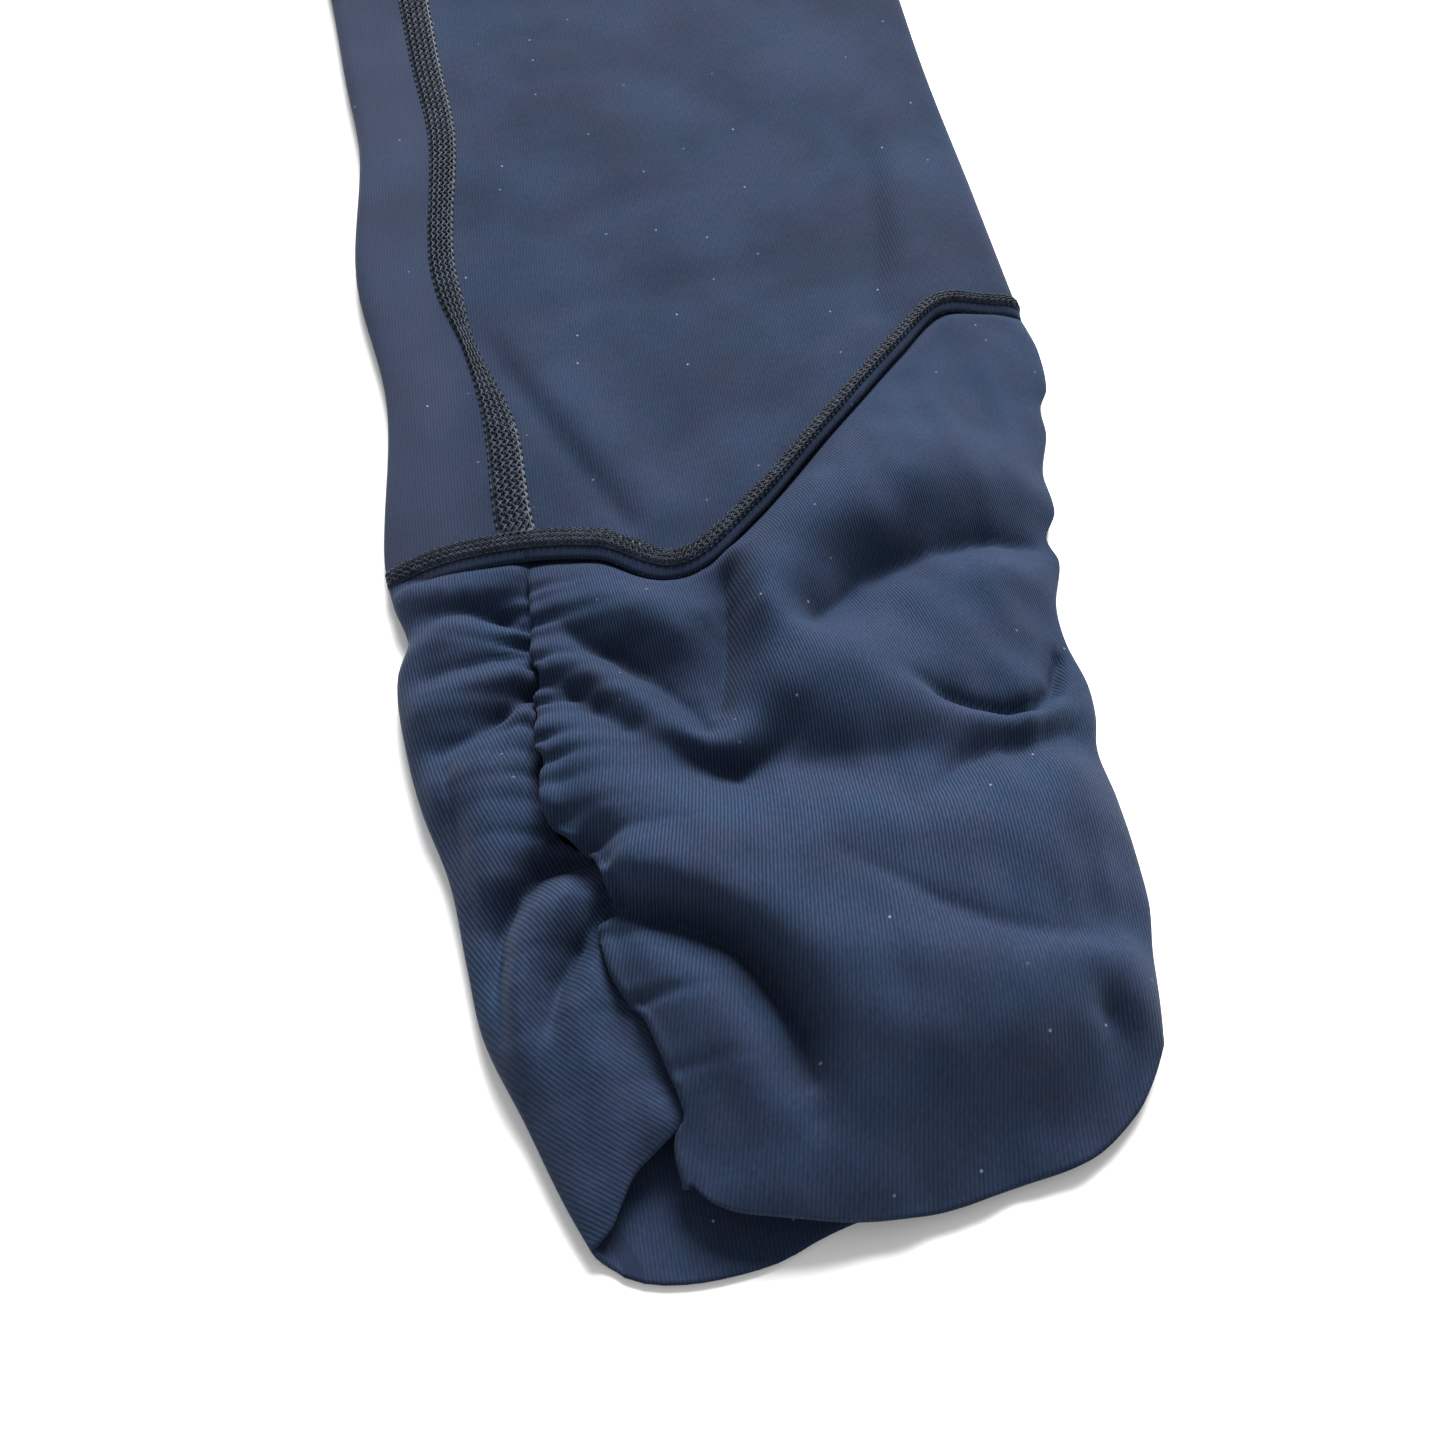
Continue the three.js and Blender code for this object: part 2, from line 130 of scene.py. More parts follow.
def mix(a, b, t):
    return a + (b - a) * t


def filled(line, step):
    """The line's points with more put in between, no further apart than step."""
    out = [np.array(line[0], float)]
    for start, end in zip(line, line[1:]):
        start, end = np.array(start, float), np.array(end, float)
        count = max(1, math.ceil(np.linalg.norm((end - start)[:2]) / step))
        out += [mix(start, end, (k + 1) / count) for k in range(count)]
    return out


def least_bending(lines, give):
    """The height of the thin plate that bends least while it passes through every crest and
    trough: a plane plus a sum of r^2 log r about the points. `give` lets it miss them a little."""
    points = np.array([p for line in lines.values() for p in filled(line, 5.0)])
    centres = points[:, :2]

    def kernel(r2):
        return 0.5 * r2 * np.log(r2 + 1e-9)

    def squared(a, b):
        return ((a[:, None, :] - b[None, :, :]) ** 2).sum(-1)

    count = len(points)
    plane = np.column_stack([np.ones(count), centres])
    system = np.zeros((count + 3, count + 3))
    system[:count, :count] = kernel(squared(centres, centres)) + give * np.eye(count)
    system[:count, count:] = plane
    system[count:, :count] = plane.T
    weights = np.linalg.solve(system, np.concatenate([points[:, 2], np.zeros(3)]))

    def height(across, up):
        shape = np.shape(across)
        at = np.column_stack([np.ravel(across), np.ravel(up)])
        parts = [
            kernel(squared(chunk, centres)) @ weights[:count]
            + weights[count] + chunk @ weights[count + 1:]
            for chunk in np.array_split(at, max(1, len(at) // 4000))
        ]
        return np.concatenate(parts).reshape(shape)

    return height


def ripples(seed, low, high, count):
    """Unevenness of hand-laid cloth: a sum of sine waves in random directions, with lengths
    between low and high. Its spread is about 1."""
    rng = np.random.default_rng(seed)
    length = np.exp(rng.uniform(math.log(low), math.log(high), count))
    turn = rng.uniform(0, 2 * math.pi, count)
    phase = rng.uniform(0, 2 * math.pi, count)

    def value(a, b):
        total = np.zeros(np.shape(a))
        for n in range(count):
            along = np.cos(turn[n]) * a + np.sin(turn[n]) * b
            total += np.sin(2 * math.pi * along / length[n] + phase[n])
        return total * math.sqrt(2 / count)

    return value


def along_line(across, up, line):
    """The depth at the nearest point of a line of [across, up, depth] points, and the distance
    to it."""
    best = np.full(np.shape(across), 1e9)
    depth = np.zeros(np.shape(across))
    for (a0, u0, h0), (a1, u1, h1) in zip(line, line[1:]):
        da, du = a1 - a0, u1 - u0
        t = np.clip(((across - a0) * da + (up - u0) * du) / (da * da + du * du), 0, 1)
        away = (across - a0 - t * da) ** 2 + (up - u0 - t * du) ** 2
        nearer = away < best
        best = np.where(nearer, away, best)
        depth = np.where(nearer, mix(h0, h1, t), depth)
    return depth, np.sqrt(best)


def crease(across, up, line, width):
    """A soft fold along a line: its depth times a bell curve of the distance to it."""
    depth, away = along_line(across, up, line)
    return depth * np.exp(-((away / width) ** 2))


# ---- Outlines of a leg, as [up, across] ----

inner_fold = through([
    [3, -33], [12, -37], [23, -41], [35, -45.5], [46, -47], [59, -48.5], [72, -52], [86, -54],
    [94, -54], [100, -52], [108, -54], [118, -55], [150, -53], [181, -57], [213, -55],
    [237, -57], [263, -59], [330, -66], [400, -70], [500, -80], [600, -93], [CROTCH_UP, -110.5],
])
outer_fold = through([
    [20, 46.5], [31, 48.5], [40, 50.5], [55, 50.5], [64, 50], [70, 51.5], [76, 52], [84, 50.8],
    [91, 51.2], [99, 54], [104, 53.2], [109, 56], [117, 56.2], [125, 59], [131, 59.6], [135, 61.8],
    [143, 62.6], [150, 61.6], [156, 61.2], [183, 60.5], [244, 59.5], [330, 64], [400, 70],
    [500, 76], [600, 84], [CROTCH_UP, 93.3],
])
inseam_turn = through([
    [CUFF_START, 24], [134, 22], [158, 18], [196, 17.9], [263, 18.5], [350, 21], [450, 22],
    [620, 16], [CROTCH_UP, 0],
])
inseam_half = through([
    [CUFF_START, 3], [134, 2.8], [146, 2.1], [157, 1.2], [162, 1.2], [172, 2.1], [196, 2.3],
    [225, 2.7], [260, 3],
])
gathered_seam = through([
    [11.2, -21.5], [15.4, -21.9], [17.7, -21.3], [19.1, -20.1], [21.3, -20.2], [24.7, -21.1],
    [28.6, -22.2], [32.4, -23.4], [34.8, -25.1], [38.9, -27], [43.2, -27.7], [46.2, -27.8],
    [48, -25.4], [51.8, -26.2], [55, -27], [57.5, -28.3], [59.8, -30.8], [62.7, -33.1],
    [67.5, -33.4], [71.9, -32.5], [74.5, -33.6], [80.4, -32.7], [84.5, -33.2], [87.8, -31.8],
    [91.8, -32.9], [97.5, -32.4], [105.5, -32], [CUFF_START, GATHER_TOP],
])

# Level of the seam between leg and cuff against the place across: front and back.
cuff_top_front = through([
    [-54.5, 112.5], [-40, 113.3], [-20, 111], [-8, 105], [5, 113.3], [20, 128.3], [36, 144.5],
    [45, 152.5], [55, 153],
])
cuff_top_back = through([[-54.5, 112.5], [-30, 114], [0, 130], [30, 149], [55, 154]])
# From the middle of the flatlock round the cuff to the leg panel's turned edge, and half the
# seam's width, against the place across: both draw in where the seam runs slanting.
turned_edge = through([[-55, 3.5], [-14, 3.5], [0, 2.8], [12, 2.6], [55, 2.8]])
seam_half = through([[-55, SEAM_HALF], [-16, SEAM_HALF], [2, 1.25], [14, 1.05], [55, 1.05]])


def below_flatlock(across):
    """Level of the turned edge, its reach measured square to the flatlock."""
    slope = (cuff_top_front(across + 1) - cuff_top_front(across - 1)) / 2
    return cuff_top_front(across) - turned_edge(across) * np.sqrt(1 + slope ** 2)


# Level of the hem against the fraction of the way across each part of the cuff.
hem_front = through([
    [0, 11], [0.03, 8.6], [0.08, 6.7], [0.16, 5.3], [0.3, 3.4], [0.47, 3], [0.62, 4.5],
    [0.79, 6.5], [0.9, 11], [0.96, 15.5], [1, 20],
])
hem_back = through([
    [0, 20], [0.12, 14], [0.25, 10], [0.45, 6], [0.64, 3], [0.73, 0.8], [0.83, 0], [0.9, 0.1],
    [0.96, 0.9], [1, 2.2],
])
hem_flap = through([
    [0, 5.6], [0.14, 6.6], [0.29, 8], [0.41, 10], [0.62, 13.7], [0.82, 16], [1, 18.5],
])

# ---- The gathers: crests and troughs of the cuff, as lines of [across, up, height] ----

RIGHT_OF_SEAM = {
    "along the gathered seam": [
        [-32, 106, 8], [-32, 97, 8.5], [-33, 91, 8.5], [-32, 87, 10], [-33, 84, 9.5],
        [-33, 79, 12], [-33, 74, 13], [-33, 71, 13.5], [-33, 66, 14.5], [-33, 63, 14],
        [-31, 60, 11.5], [-28, 57, 9.5], [-27, 54, 9], [-26, 51, 10], [-25, 47, 11.5],
        [-28, 46, 12], [-28, 43, 12], [-27, 39, 11.5], [-25, 35, 11], [-23, 33, 11],
        [-22, 29, 11], [-21, 25, 10.5], [-20, 21, 9.5], [-20, 19, 8.5], [-21, 17, 7.5],
        [-22, 11, 6.5]],
    "upper crest": [
        [50, 122, 7.5], [40, 124, 11.5], [28, 121, 13.5], [14, 112, 14.5], [4, 102, 14]],
    "upper crest, low": [[50, 110, 7.5], [42, 111.5, 12], [32, 109, 14], [23, 103, 14]],
    "upper field, high": [[48, 96, 7.5], [42, 95, 10.5], [34, 94, 11.5], [28, 91, 12.5]],
    "upper field, middle": [[47, 90, 7], [40, 89, 10.5], [33, 89, 12], [27, 86, 13]],
    "upper field, low": [[43, 81, 7.5], [37, 78, 10.5], [31, 77, 12], [27, 77, 13]],
    "side streak": [
        [11, 90, 11.5], [15, 93.5, 11], [19, 97, 10.5], [25, 99.5, 10], [33, 101.5, 9.5],
        [41, 102.5, 8], [50, 102, 5]],
    "high pleat": [
        [1, 104, 12], [2, 97, 14.5], [3, 91, 16], [8, 85, 16], [17, 81, 15.5], [23, 75, 15],
        [27, 70, 14.5], [31, 66, 14], [39, 67, 12.5], [48, 72, 8]],
    "beside the high pleat": [[-1.5, 101, 9.8], [-2.5, 94, 9.3], [-4, 86, 9], [-5.5, 79, 9]],
    "flank, high": [[5, 75, 15.5], [13, 71.5, 15.4], [19, 69, 15], [25, 67, 14.3]],
    "flank, low": [[1, 65.5, 11], [6, 65, 11.4], [11, 63.5, 12], [17, 62, 12.6], [22, 62, 13]],
    "pocket": [[-13, 69, 11], [-8, 67.3, 10], [-4, 66.8, 9.5], [0, 67.5, 10]],
    "hollow": [
        [-25.5, 95, 9.6], [-21.5, 91, 9], [-17.5, 88.5, 8.7], [-13.5, 83.5, 9], [-10, 78, 9],
        [-8.5, 74.5, 9.6]],
    "first ridge": [
        [-29, 102.5, 9.5], [-23, 100, 10.6], [-16.5, 95.5, 11.6], [-10, 91, 11.8],
        [-5.5, 94, 11]],
    "second ridge": [
        [-30, 87.5, 11], [-25, 85.5, 12.5], [-20, 80.5, 13.5], [-15, 75.5, 13.8], [-10, 71.5, 13],
        [-6, 69.8, 12.3]],
    "crescent": [[28, 73, 12.4], [32, 71, 11.8], [36, 70, 11.3], [41, 71.5, 10.2], [45, 75, 8]],
    "pinch": [[-30, 84.5, 10.6], [-27, 83, 11], [-24, 79, 11.4], [-20, 74.5, 12]],
    "third ridge": [
        [-31, 80, 12], [-27, 76, 13.5], [-22, 73, 13.5], [-18, 67, 14], [-13, 61, 15.5],
        [-7, 55, 16.5]],
    "main crest": [
        [-31, 66, 14], [-25, 61, 15.5], [-17, 56, 17], [-10, 52, 17.5], [-4, 48, 18], [0, 44, 18],
        [5, 40, 18], [11, 36, 18], [19, 33, 17.5], [29, 31, 16], [38, 31, 12.5], [45, 32, 8]],
    "brink": [
        [-30, 58.5, 13.5], [-25.5, 52, 15.5], [-19.5, 48.7, 16.8], [-12.3, 44.9, 17.3],
        [-7.8, 41.3, 17.5], [-4.3, 36.4, 17.2], [-1.5, 31, 16.5], [0.8, 24.7, 15],
        [0.8, 18, 12.5], [-1, 12, 10.5]],
    "deep trough": [
        [-31, 56, 10.5], [-28.5, 51.5, 11.3], [-22.8, 46.6, 12.8], [-18, 44.4, 13.3],
        [-13, 41.4, 13.6], [-9.5, 37.9, 13.6], [-6.8, 34, 13.2], [-5, 30.3, 12.8],
        [-3.3, 25.6, 12], [-2.7, 21, 11], [-3, 16, 10]],
    "lower pleat": [
        [-25, 43.5, 11.5], [-22.5, 42.3, 13.4], [-18.8, 39.2, 14.2], [-16, 35, 14.5],
        [-12.3, 29.5, 14.3], [-9.3, 24.7, 13.3], [-7, 18, 11.7], [-5.5, 13, 10], [-4, 9, 8.8]],
    "lower pleat, left": [
        [-23, 37, 12], [-20, 31, 12.5], [-17, 25, 12], [-15, 19, 10.5], [-14, 13, 9]],
    "above the crest": [
        [7, 49, 16.6], [13, 44.5, 16.6], [18, 40.5, 16.4], [24, 36.5, 15.8], [31, 34.5, 14.3],
        [37, 34, 12], [45, 35, 7]],
    "bulge": [
        [2, 58, 15.3], [10, 54, 16], [16, 50, 16.3], [23, 46, 16.1], [29, 43, 15.2],
        [36, 40, 13.2], [43, 40, 9.3]],
    "shoulder trough": [
        [23, 59, 14], [27, 61, 13], [31, 63, 12.5], [37, 64, 11], [45, 66, 8]],
    "shoulder": [[24, 54, 16], [31, 56, 14.5], [39, 59, 12.5], [46, 62, 9]],
    "lower face, high": [[10, 29, 17.8], [18, 26, 17], [28, 25, 15], [37, 26, 11]],
    "lower face, middle": [[8, 22, 15.8], [16, 21, 15.2], [27, 20, 12.8], [36, 22, 9.5]],
    "lower face, low": [[5, 14, 11], [13, 13, 9], [22, 13, 7.2], [31, 14, 5.6]],
    "dimple": [[38, 24, 8.5], [39, 22, 7.5]],
    "dimple lip": [[42, 28, 10], [43, 25, 9], [43.5, 21, 6.5]],
    "under the leg's edge": [
        [-29, 107, 8.4], [-21, 106, 9], [-15, 103, 9.2], [-7, 101, 9.6], [-2, 104, 10],
        [5, 109, 10.4], [14, 118, 10.2], [22, 127, 9.8], [31, 136, 9.3], [40, 145, 8.8],
        [47, 149, 8.2], [54, 150, 7.2]],
    "hem": [
        [-20, 8, 7.5], [-12, 6, 7.8], [-4, 3, 6], [9, 3, 3.2], [20, 5, 2.4], [31, 6, 2.4],
        [38, 10, 2.8], [44, 16, 3]],
}
LEFT_OF_SEAM = {
    "under the gathered seam": [
        [-32, 106, 6.5], [-33, 95, 7], [-33, 86, 7], [-33, 77, 8], [-34, 69, 9], [-32, 62, 7.5],
        [-27, 50, 7.5], [-27, 42, 9], [-24, 33, 8.5], [-21, 26, 8], [-20, 20, 7.5]],
    "under the leg's edge": [[-52, 110, 6.2], [-44, 108, 7.7], [-33, 107, 8]],
    "first roll": [[-52, 107, 7.2], [-46, 107, 8.2], [-38, 106, 8]],
    "notch": [[-50, 102, 6.2], [-45, 103, 6.7], [-40, 102, 6.6], [-34, 99, 6.5]],
    "second roll": [[-51, 96, 7.7], [-45, 99, 9.2], [-40, 98, 9.1], [-34, 97, 8.5]],
    "third trough": [[-51, 90, 7.2], [-46, 91, 8.2], [-40, 92.5, 7.9], [-34, 93, 7.3]],
    "fourth roll": [[-52, 85, 8.2], [-47, 87, 9.7], [-42, 88, 9.6], [-35, 89, 9.5]],
    "long trough": [[-51, 76, 6.7], [-47, 78, 7.2], [-43, 80, 7.7], [-38, 83, 7], [-34, 86, 7.5]],
    "fifth roll": [
        [-49, 70, 8.2], [-46, 74, 9.7], [-42, 76, 10.1], [-38, 78, 10.5], [-34, 82, 10]],
    "upright roll": [
        [-36, 77, 10.5], [-37, 71, 11], [-38, 65, 10.5], [-40, 58, 10.6], [-40, 55, 10.1]],
    "side strip": [[-50, 66, 5.7], [-49, 58, 5.7], [-47, 50, 5.7], [-46, 42, 5.7]],
    "hooked trough": [
        [-43, 32, 7.2], [-43, 40, 7.7], [-42, 47, 7.6], [-39, 53, 7.6], [-35, 56.5, 7.5],
        [-30, 58, 8]],
    "hooked roll": [
        [-40, 32, 8.6], [-39.5, 40, 10.6], [-38, 46, 11], [-35.5, 50, 11.3], [-31, 52.5, 11],
        [-27, 53, 9.5]],
    "lower trough": [[-36, 35, 7.5], [-34, 40, 7.5], [-31, 44.5, 8], [-28, 48, 8.5]],
    "lower roll": [[-35, 30, 8], [-33, 36, 9.5], [-30, 40, 10], [-28, 44, 9.5]],
    "tail": [
        [-38, 24, 6.5], [-30, 28, 9], [-26, 30, 8.5], [-24, 21, 8.5], [-28, 19, 7.5],
        [-26, 15, 6.5], [-33, 14, 5.5], [-33, 8, 4]],
}
# Narrow valleys, with sharp bottoms, to the right and to the left of the gathered seam: width,
# then the line as [across, up, depth].
VALLEYS_RIGHT = [
    (1.8, [[-28, 97, 0.8], [-24.5, 93, 2.6], [-19.5, 89.5, 3], [-14.5, 84.5, 2.4],
           [-10.5, 79, 2.4], [-8.5, 75, 1.6]]),
    (1.6, [[-0.5, 104, 1.2], [-1.2, 100, 2.6], [-2, 94, 3], [-3.5, 86, 3], [-5.5, 78, 1.8]]),
    (1.5, [[-31, 86.5, 1.6], [-27.5, 84, 2.4], [-24, 80, 1.8], [-20, 75.5, 0.8], [-16, 72, 0.2]]),
    (2, [[-16, 72, 0.6], [-10, 69, 2.2], [-5, 67, 3], [-1, 68, 1.8], [3, 69, 0.6]]),
    (1.1, [[22, 76, 0.6], [26, 73.3, 2.4], [31, 71, 3.6], [36, 70, 4.1], [41, 71, 4.1],
           [45, 74, 3.8], [48, 80, 2.4]]),
    (1.6, [[9, 88, 0.8], [14, 91.5, 1.8], [19, 96, 1.8], [25, 98.5, 1.8], [33, 100.5, 2],
           [41, 102.5, 2.4], [50, 102, 1.6]]),
    (1.3, [[-31, 57, 2.5], [-28.5, 51.8, 4.2], [-22.5, 47.4, 4.6], [-17.8, 45.2, 4.8],
           [-12.8, 42.3, 4.8], [-9.2, 39.2, 4.8], [-6.6, 35.2, 4.6], [-4.9, 31, 4],
           [-3.5, 26, 3], [-3, 21, 1.6]]),
    (1.6, [[6, 49, 0.4], [12, 45, 1.2], [18, 40, 1.4], [24, 36.5, 1.3], [31, 34.5, 1.2],
           [39, 34, 0.8]]),
    (1.8, [[20, 55.5, 0.4], [23, 58, 1.4], [27, 61.5, 1.7], [32, 63.5, 1.6], [38, 64, 1.4],
           [45, 66, 0.8]]),
    (3, [[3, 66.5, 0.4], [10, 66, 0.8], [17, 64.5, 0.8], [23, 64, 0.4]]),
    (1.8, [[37, 27, 0.3], [39, 24, 0.9], [40, 21, 0.9], [38, 18, 0.4]]),
]
VALLEYS_LEFT = [
    (1.1, [[-47, 103, 0.8], [-42, 103.5, 1.8], [-38, 102, 2.2], [-34, 99, 2]]),
    (0.9, [[-44, 97, 0.5], [-38, 96, 1.2], [-34, 95, 1.4]]),
    (1.0, [[-49, 91, 0.5], [-44, 92, 1.2], [-39, 93, 1.6], [-34, 93, 1.6]]),
    (1.1, [[-48, 78, 0.8], [-43, 80.5, 1.6], [-38, 83.5, 2], [-34, 86, 2]]),
    (1.1, [[-47, 74, 1.2], [-46.5, 66, 1.5], [-46, 58, 1.2], [-45, 50, 0.5]]),
    (1.3, [[-30, 58, 2.2], [-35, 57, 3], [-39, 54, 3.6], [-41.5, 49, 3.6], [-42.5, 42, 2.8],
           [-42.5, 34, 1]]),
    (1.1, [[-28, 48, 1.6], [-31, 44.5, 2], [-34, 40, 1.8], [-36, 34, 0.6]]),
    (0.9, [[-36, 83, 0.6], [-39, 75, 1], [-41, 68, 0.5]]),
]
# Small pleats held by the gathered seam: level, depth to the right, depth to the left.
PLEATS = [
    (104, 1.2, 0.8), (101.5, 0.6, 1.2), (98, 1.8, 1.0), (95, 0.8, 1.2), (91, 1.8, 1.4),
    (86.5, 1.2, 1.8), (83, 2.2, 1.0), (79.5, 1.2, 1.6), (75, 2.0, 0.6), (71, 1.8, 1.2),
    (67, 1.0, 0.6), (62, 1.2, 1.0), (57.5, 1.4, 1.4), (52.5, 0.4, 1.0), (44.5, 1.2, 0.6),
    (34.5, 1.4, 0.4), (25, 0.6, 0.2),
]
PLEAT_WIDTH = 0.95
PLEAT_REACH = 6.0

height_right = least_bending(RIGHT_OF_SEAM, 0.6)
height_left = least_bending(LEFT_OF_SEAM, 1.0)
fine_ripples = ripples(7, 6, 16, 24)
broad_ripples = ripples(11, 30, 90, 18)


def valleys(across, up, side):
    """How far the narrow valleys dip: the deepest of them, each falling off from its line as
    exp(-distance / width)."""
    deepest = np.zeros(np.shape(across))
    for width, line in VALLEYS_RIGHT if side > 0 else VALLEYS_LEFT:
        depth, away = along_line(across, up, line)
        deepest = np.maximum(deepest, depth * np.exp(-(np.sqrt(away ** 2 + 0.3) - 0.55) / width))
    return deepest


def pleated(away, up, side):
    """How far the small pleats dip: narrow bells along the seam that fade away from it."""
    dip = np.zeros(np.shape(up))
    for level, right, left in PLEATS:
        depth = right if side > 0 else left
        dip += depth * np.exp(-((up - level) / PLEAT_WIDTH) ** 2)
    return dip * np.exp(-np.abs(away) / PLEAT_REACH)


def round_shoulder(away, width):
    """Rise from a side fold to the top of the heap, as a rounded square corner does."""
    t = np.clip(away / width, 0, 1)
    power = 2.3
    return (1 - (1 - t) ** power) ** (1 / power)


# Height of the seam between leg and cuff against the place across.
seam_height = through([
    [-54, 4.2], [-44, 6.5], [-33, 8.2], [-21, 8.8], [-8, 9.2], [5, 10.3], [20, 10], [36, 9],
    [47, 8], [56, 6],
])
LEG_CREASES = [
    (-1.3, 2.0, [[-34, 161, 0.3], [-32, 153, 0.8], [-27, 140, 1], [-21, 126, 1], [-15, 113, 0.8]]),
    (1.6, 4.5, [[-30, 165, 0.2], [-27, 154, 0.8], [-22, 141, 1], [-16, 128, 1], [-9, 114, 0.6]]),
    (-1.6, 3.0, [[43, 205, 0], [41, 188, 0.8], [38, 170, 1], [34, 152, 0.8]]),
    (0.8, 5.0, [[50, 210, 0.2], [47, 185, 1], [43, 165, 0.8]]),
    (-0.6, 4.5, [[-30, 164, 0.3], [-16, 166, 1], [-4, 167, 1], [15, 169, 0.8], [32, 174, 0.3]]),
    (-0.8, 5.5, [[-14, 125, 0.6], [-1, 130, 1], [14, 134, 0.8], [24, 140, 0.2]]),
    (-0.5, 4.0, [[-22, 186, 0.4], [-12, 189, 1], [0, 192, 0.4]]),
    (-0.5, 5.0, [[-10, 235, 0.3], [8, 222, 1], [24, 205, 0.6]]),
    (1.3, 9.0, [[-60, 420, 0.4], [-10, 398, 1], [60, 410, 0.3]]),
    (-1.2, 7.0, [[-60, 385, 0.5], [0, 372, 1], [65, 380, 0.4]]),
    (1.2, 8.0, [[-70, 470, 0.3], [-20, 455, 1], [40, 470, 0.3]]),
    (-1.3, 6.5, [[-75, 520, 0.3], [-30, 500, 1], [30, 512, 0.9], [75, 500, 0.3]]),
    (1.2, 8.0, [[-80, 560, 0.3], [-20, 548, 1], [60, 570, 0.4]]),
    (1.4, 9.0, [[-104, 640, 0.8], [-60, 628, 1], [0, 610, 0.8], [60, 615, 0.2]]),
    (-1.4, 6.0, [[-104, 622, 0.6], [-60, 606, 1], [0, 586, 0.8], [70, 588, 0.2]]),
]
# Drag lines over one half of the hips, in the garment's own places across and up.
HIP_CREASES = [
    (1.6, 8.0, [[6, 215, 0.6], [50, 236, 1], [110, 262, 0.9], [165, 275, 0.2]]),
    (-1.5, 6.0, [[6, 228, 0.6], [50, 252, 1], [105, 282, 0.8], [150, 296, 0.2]]),
    (1.2, 8.0, [[20, 330, 0.2], [70, 318, 1], [130, 324, 0.8], [170, 340, 0.2]]),
    (-1.2, 7.0, [[60, 366, 0.2], [110, 350, 1], [165, 358, 0.4]]),
]


def leg_height(across, up):
    """Height of the leg's front before its side folds: flat, rising to the gathered seam at its
    lower edge, with soft creases and the unevenness of cloth laid by hand."""
    over = np.maximum(up - cuff_top_front(across), 0)
    calm = np.exp(-((over / 30) ** 2))
    height = mix(FLAT_TOP, seam_height(across) + CLOTH_LIFT, calm)
    for depth, width, line in LEG_CREASES:
        height = height + depth * crease(across, up, line, width)
    return height + 0.22 * broad_ripples(across, up) * smooth(over, 4, 40)


def shoulder_width(up):
    return mix(FOLD_RADIUS, 10.0, 1 - smooth(up, 120, 200))


def front_of_leg(across, up):
    """Height of the finished front of a leg, rounded down to its side folds."""
    away = np.minimum(across - inner_fold(up), outer_fold(up) - across)
    rise = round_shoulder(away, shoulder_width(up))
    return FOLD_RADIUS + (leg_height(across, up) - FOLD_RADIUS) * rise


def cuff_height(across, up, side):
    """Height of the cuff's front to the right (side 1) or the left (side -1) of its seam."""
    base = (height_right if side > 0 else height_left)(across, up)
    away = across - gathered_seam(up)
    edge = below_flatlock(across)
    calm = smooth(edge - up, -1, 6)
    fine = 0.16 * fine_ripples(across, up * 0.8) * calm
    height = base - (pleated(away, up, side) + valleys(across, up, side)) * calm + fine
    relief = mix(1.0, 1.15, calm * smooth(up, 8, 24))
    height = 8.5 + (height - 8.5) * relief
    tucked = smooth(up, edge - 1.2, edge + 0.6)
    return height - CLOTH_LIFT * tucked


def front_of_cuff(across, up, side):
    fold = outer_fold(up) if side > 0 else inner_fold(up)
    width = mix(5.5, 9.0, smooth(up, 20, 40)) if side > 0 else 5.5
    rise = round_shoulder(np.abs(fold - across), width)
    return FOLD_RADIUS + (cuff_height(across, up, side) - FOLD_RADIUS) * rise


# ---- Placing the cloth on the garment ----


def on_leg(across, up, height):
    """Points in the garment's own directions, from places in the leg's."""
    x = HEM_OUT - up * math.sin(LEG_LEAN) + across * math.cos(LEG_LEAN)
    y = HEM_LEVEL + up * math.cos(LEG_LEAN) + across * math.sin(LEG_LEAN)
    return np.stack(np.broadcast_arrays(x, y, height), axis=-1)


def grid_faces(rows, columns, closed=False):
    row, column = np.meshgrid(
        np.arange(rows - 1), np.arange(columns - (0 if closed else 1)), indexing="ij")
    after = (column + 1) % columns
    a = row * columns + column
    b = row * columns + after
    c = (row + 1) * columns + after
    d = (row + 1) * columns + column
    return np.stack([a, b, c, d], axis=-1).reshape(-1, 4)


def new_piece(name, points, faces, uv=None, mirrored=False):
    """A mesh object from points in millimetres, with the knit's own coordinates as its UV map."""
    points = np.asarray(points, float).reshape(-1, 3) * MM
    faces = np.asarray(faces)
    if mirrored:
        points = points * (-1, 1, 1)
        faces = faces[:, ::-1]
    mesh = bpy.data.meshes.new(name)
    mesh.vertices.add(len(points))
    mesh.vertices.foreach_set("co", points.ravel())
    mesh.loops.add(faces.size)
    mesh.loops.foreach_set("vertex_index", faces.ravel())
    mesh.polygons.add(len(faces))
    mesh.polygons.foreach_set("loop_start", np.arange(0, faces.size, faces.shape[1]))
    mesh.polygons.foreach_set("use_smooth", np.ones(len(faces), bool))
    if uv is not None:
        layer = mesh.uv_layers.new(name="knit")
        layer.data.foreach_set("uv", np.asarray(uv, float).reshape(-1, 2)[faces.ravel()].ravel())
    mesh.update(calc_edges=True)
    mesh.validate()
    piece = bpy.data.objects.new(name, mesh)
    bpy.context.scene.collection.objects.link(piece)
    return piece


def give_thickness(piece, thickness):
    wall = piece.modifiers.new("cloth", "SOLIDIFY")
    wall.thickness = thickness * MM
    wall.offset = -1
    wall.use_rim = True


def finish_piece(piece, node, material):
    piece.data.materials.append(material)
    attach(piece, BODY)
    if node:
        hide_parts(node)


# ---- Cloth of a leg, of the hips and of a cuff ----

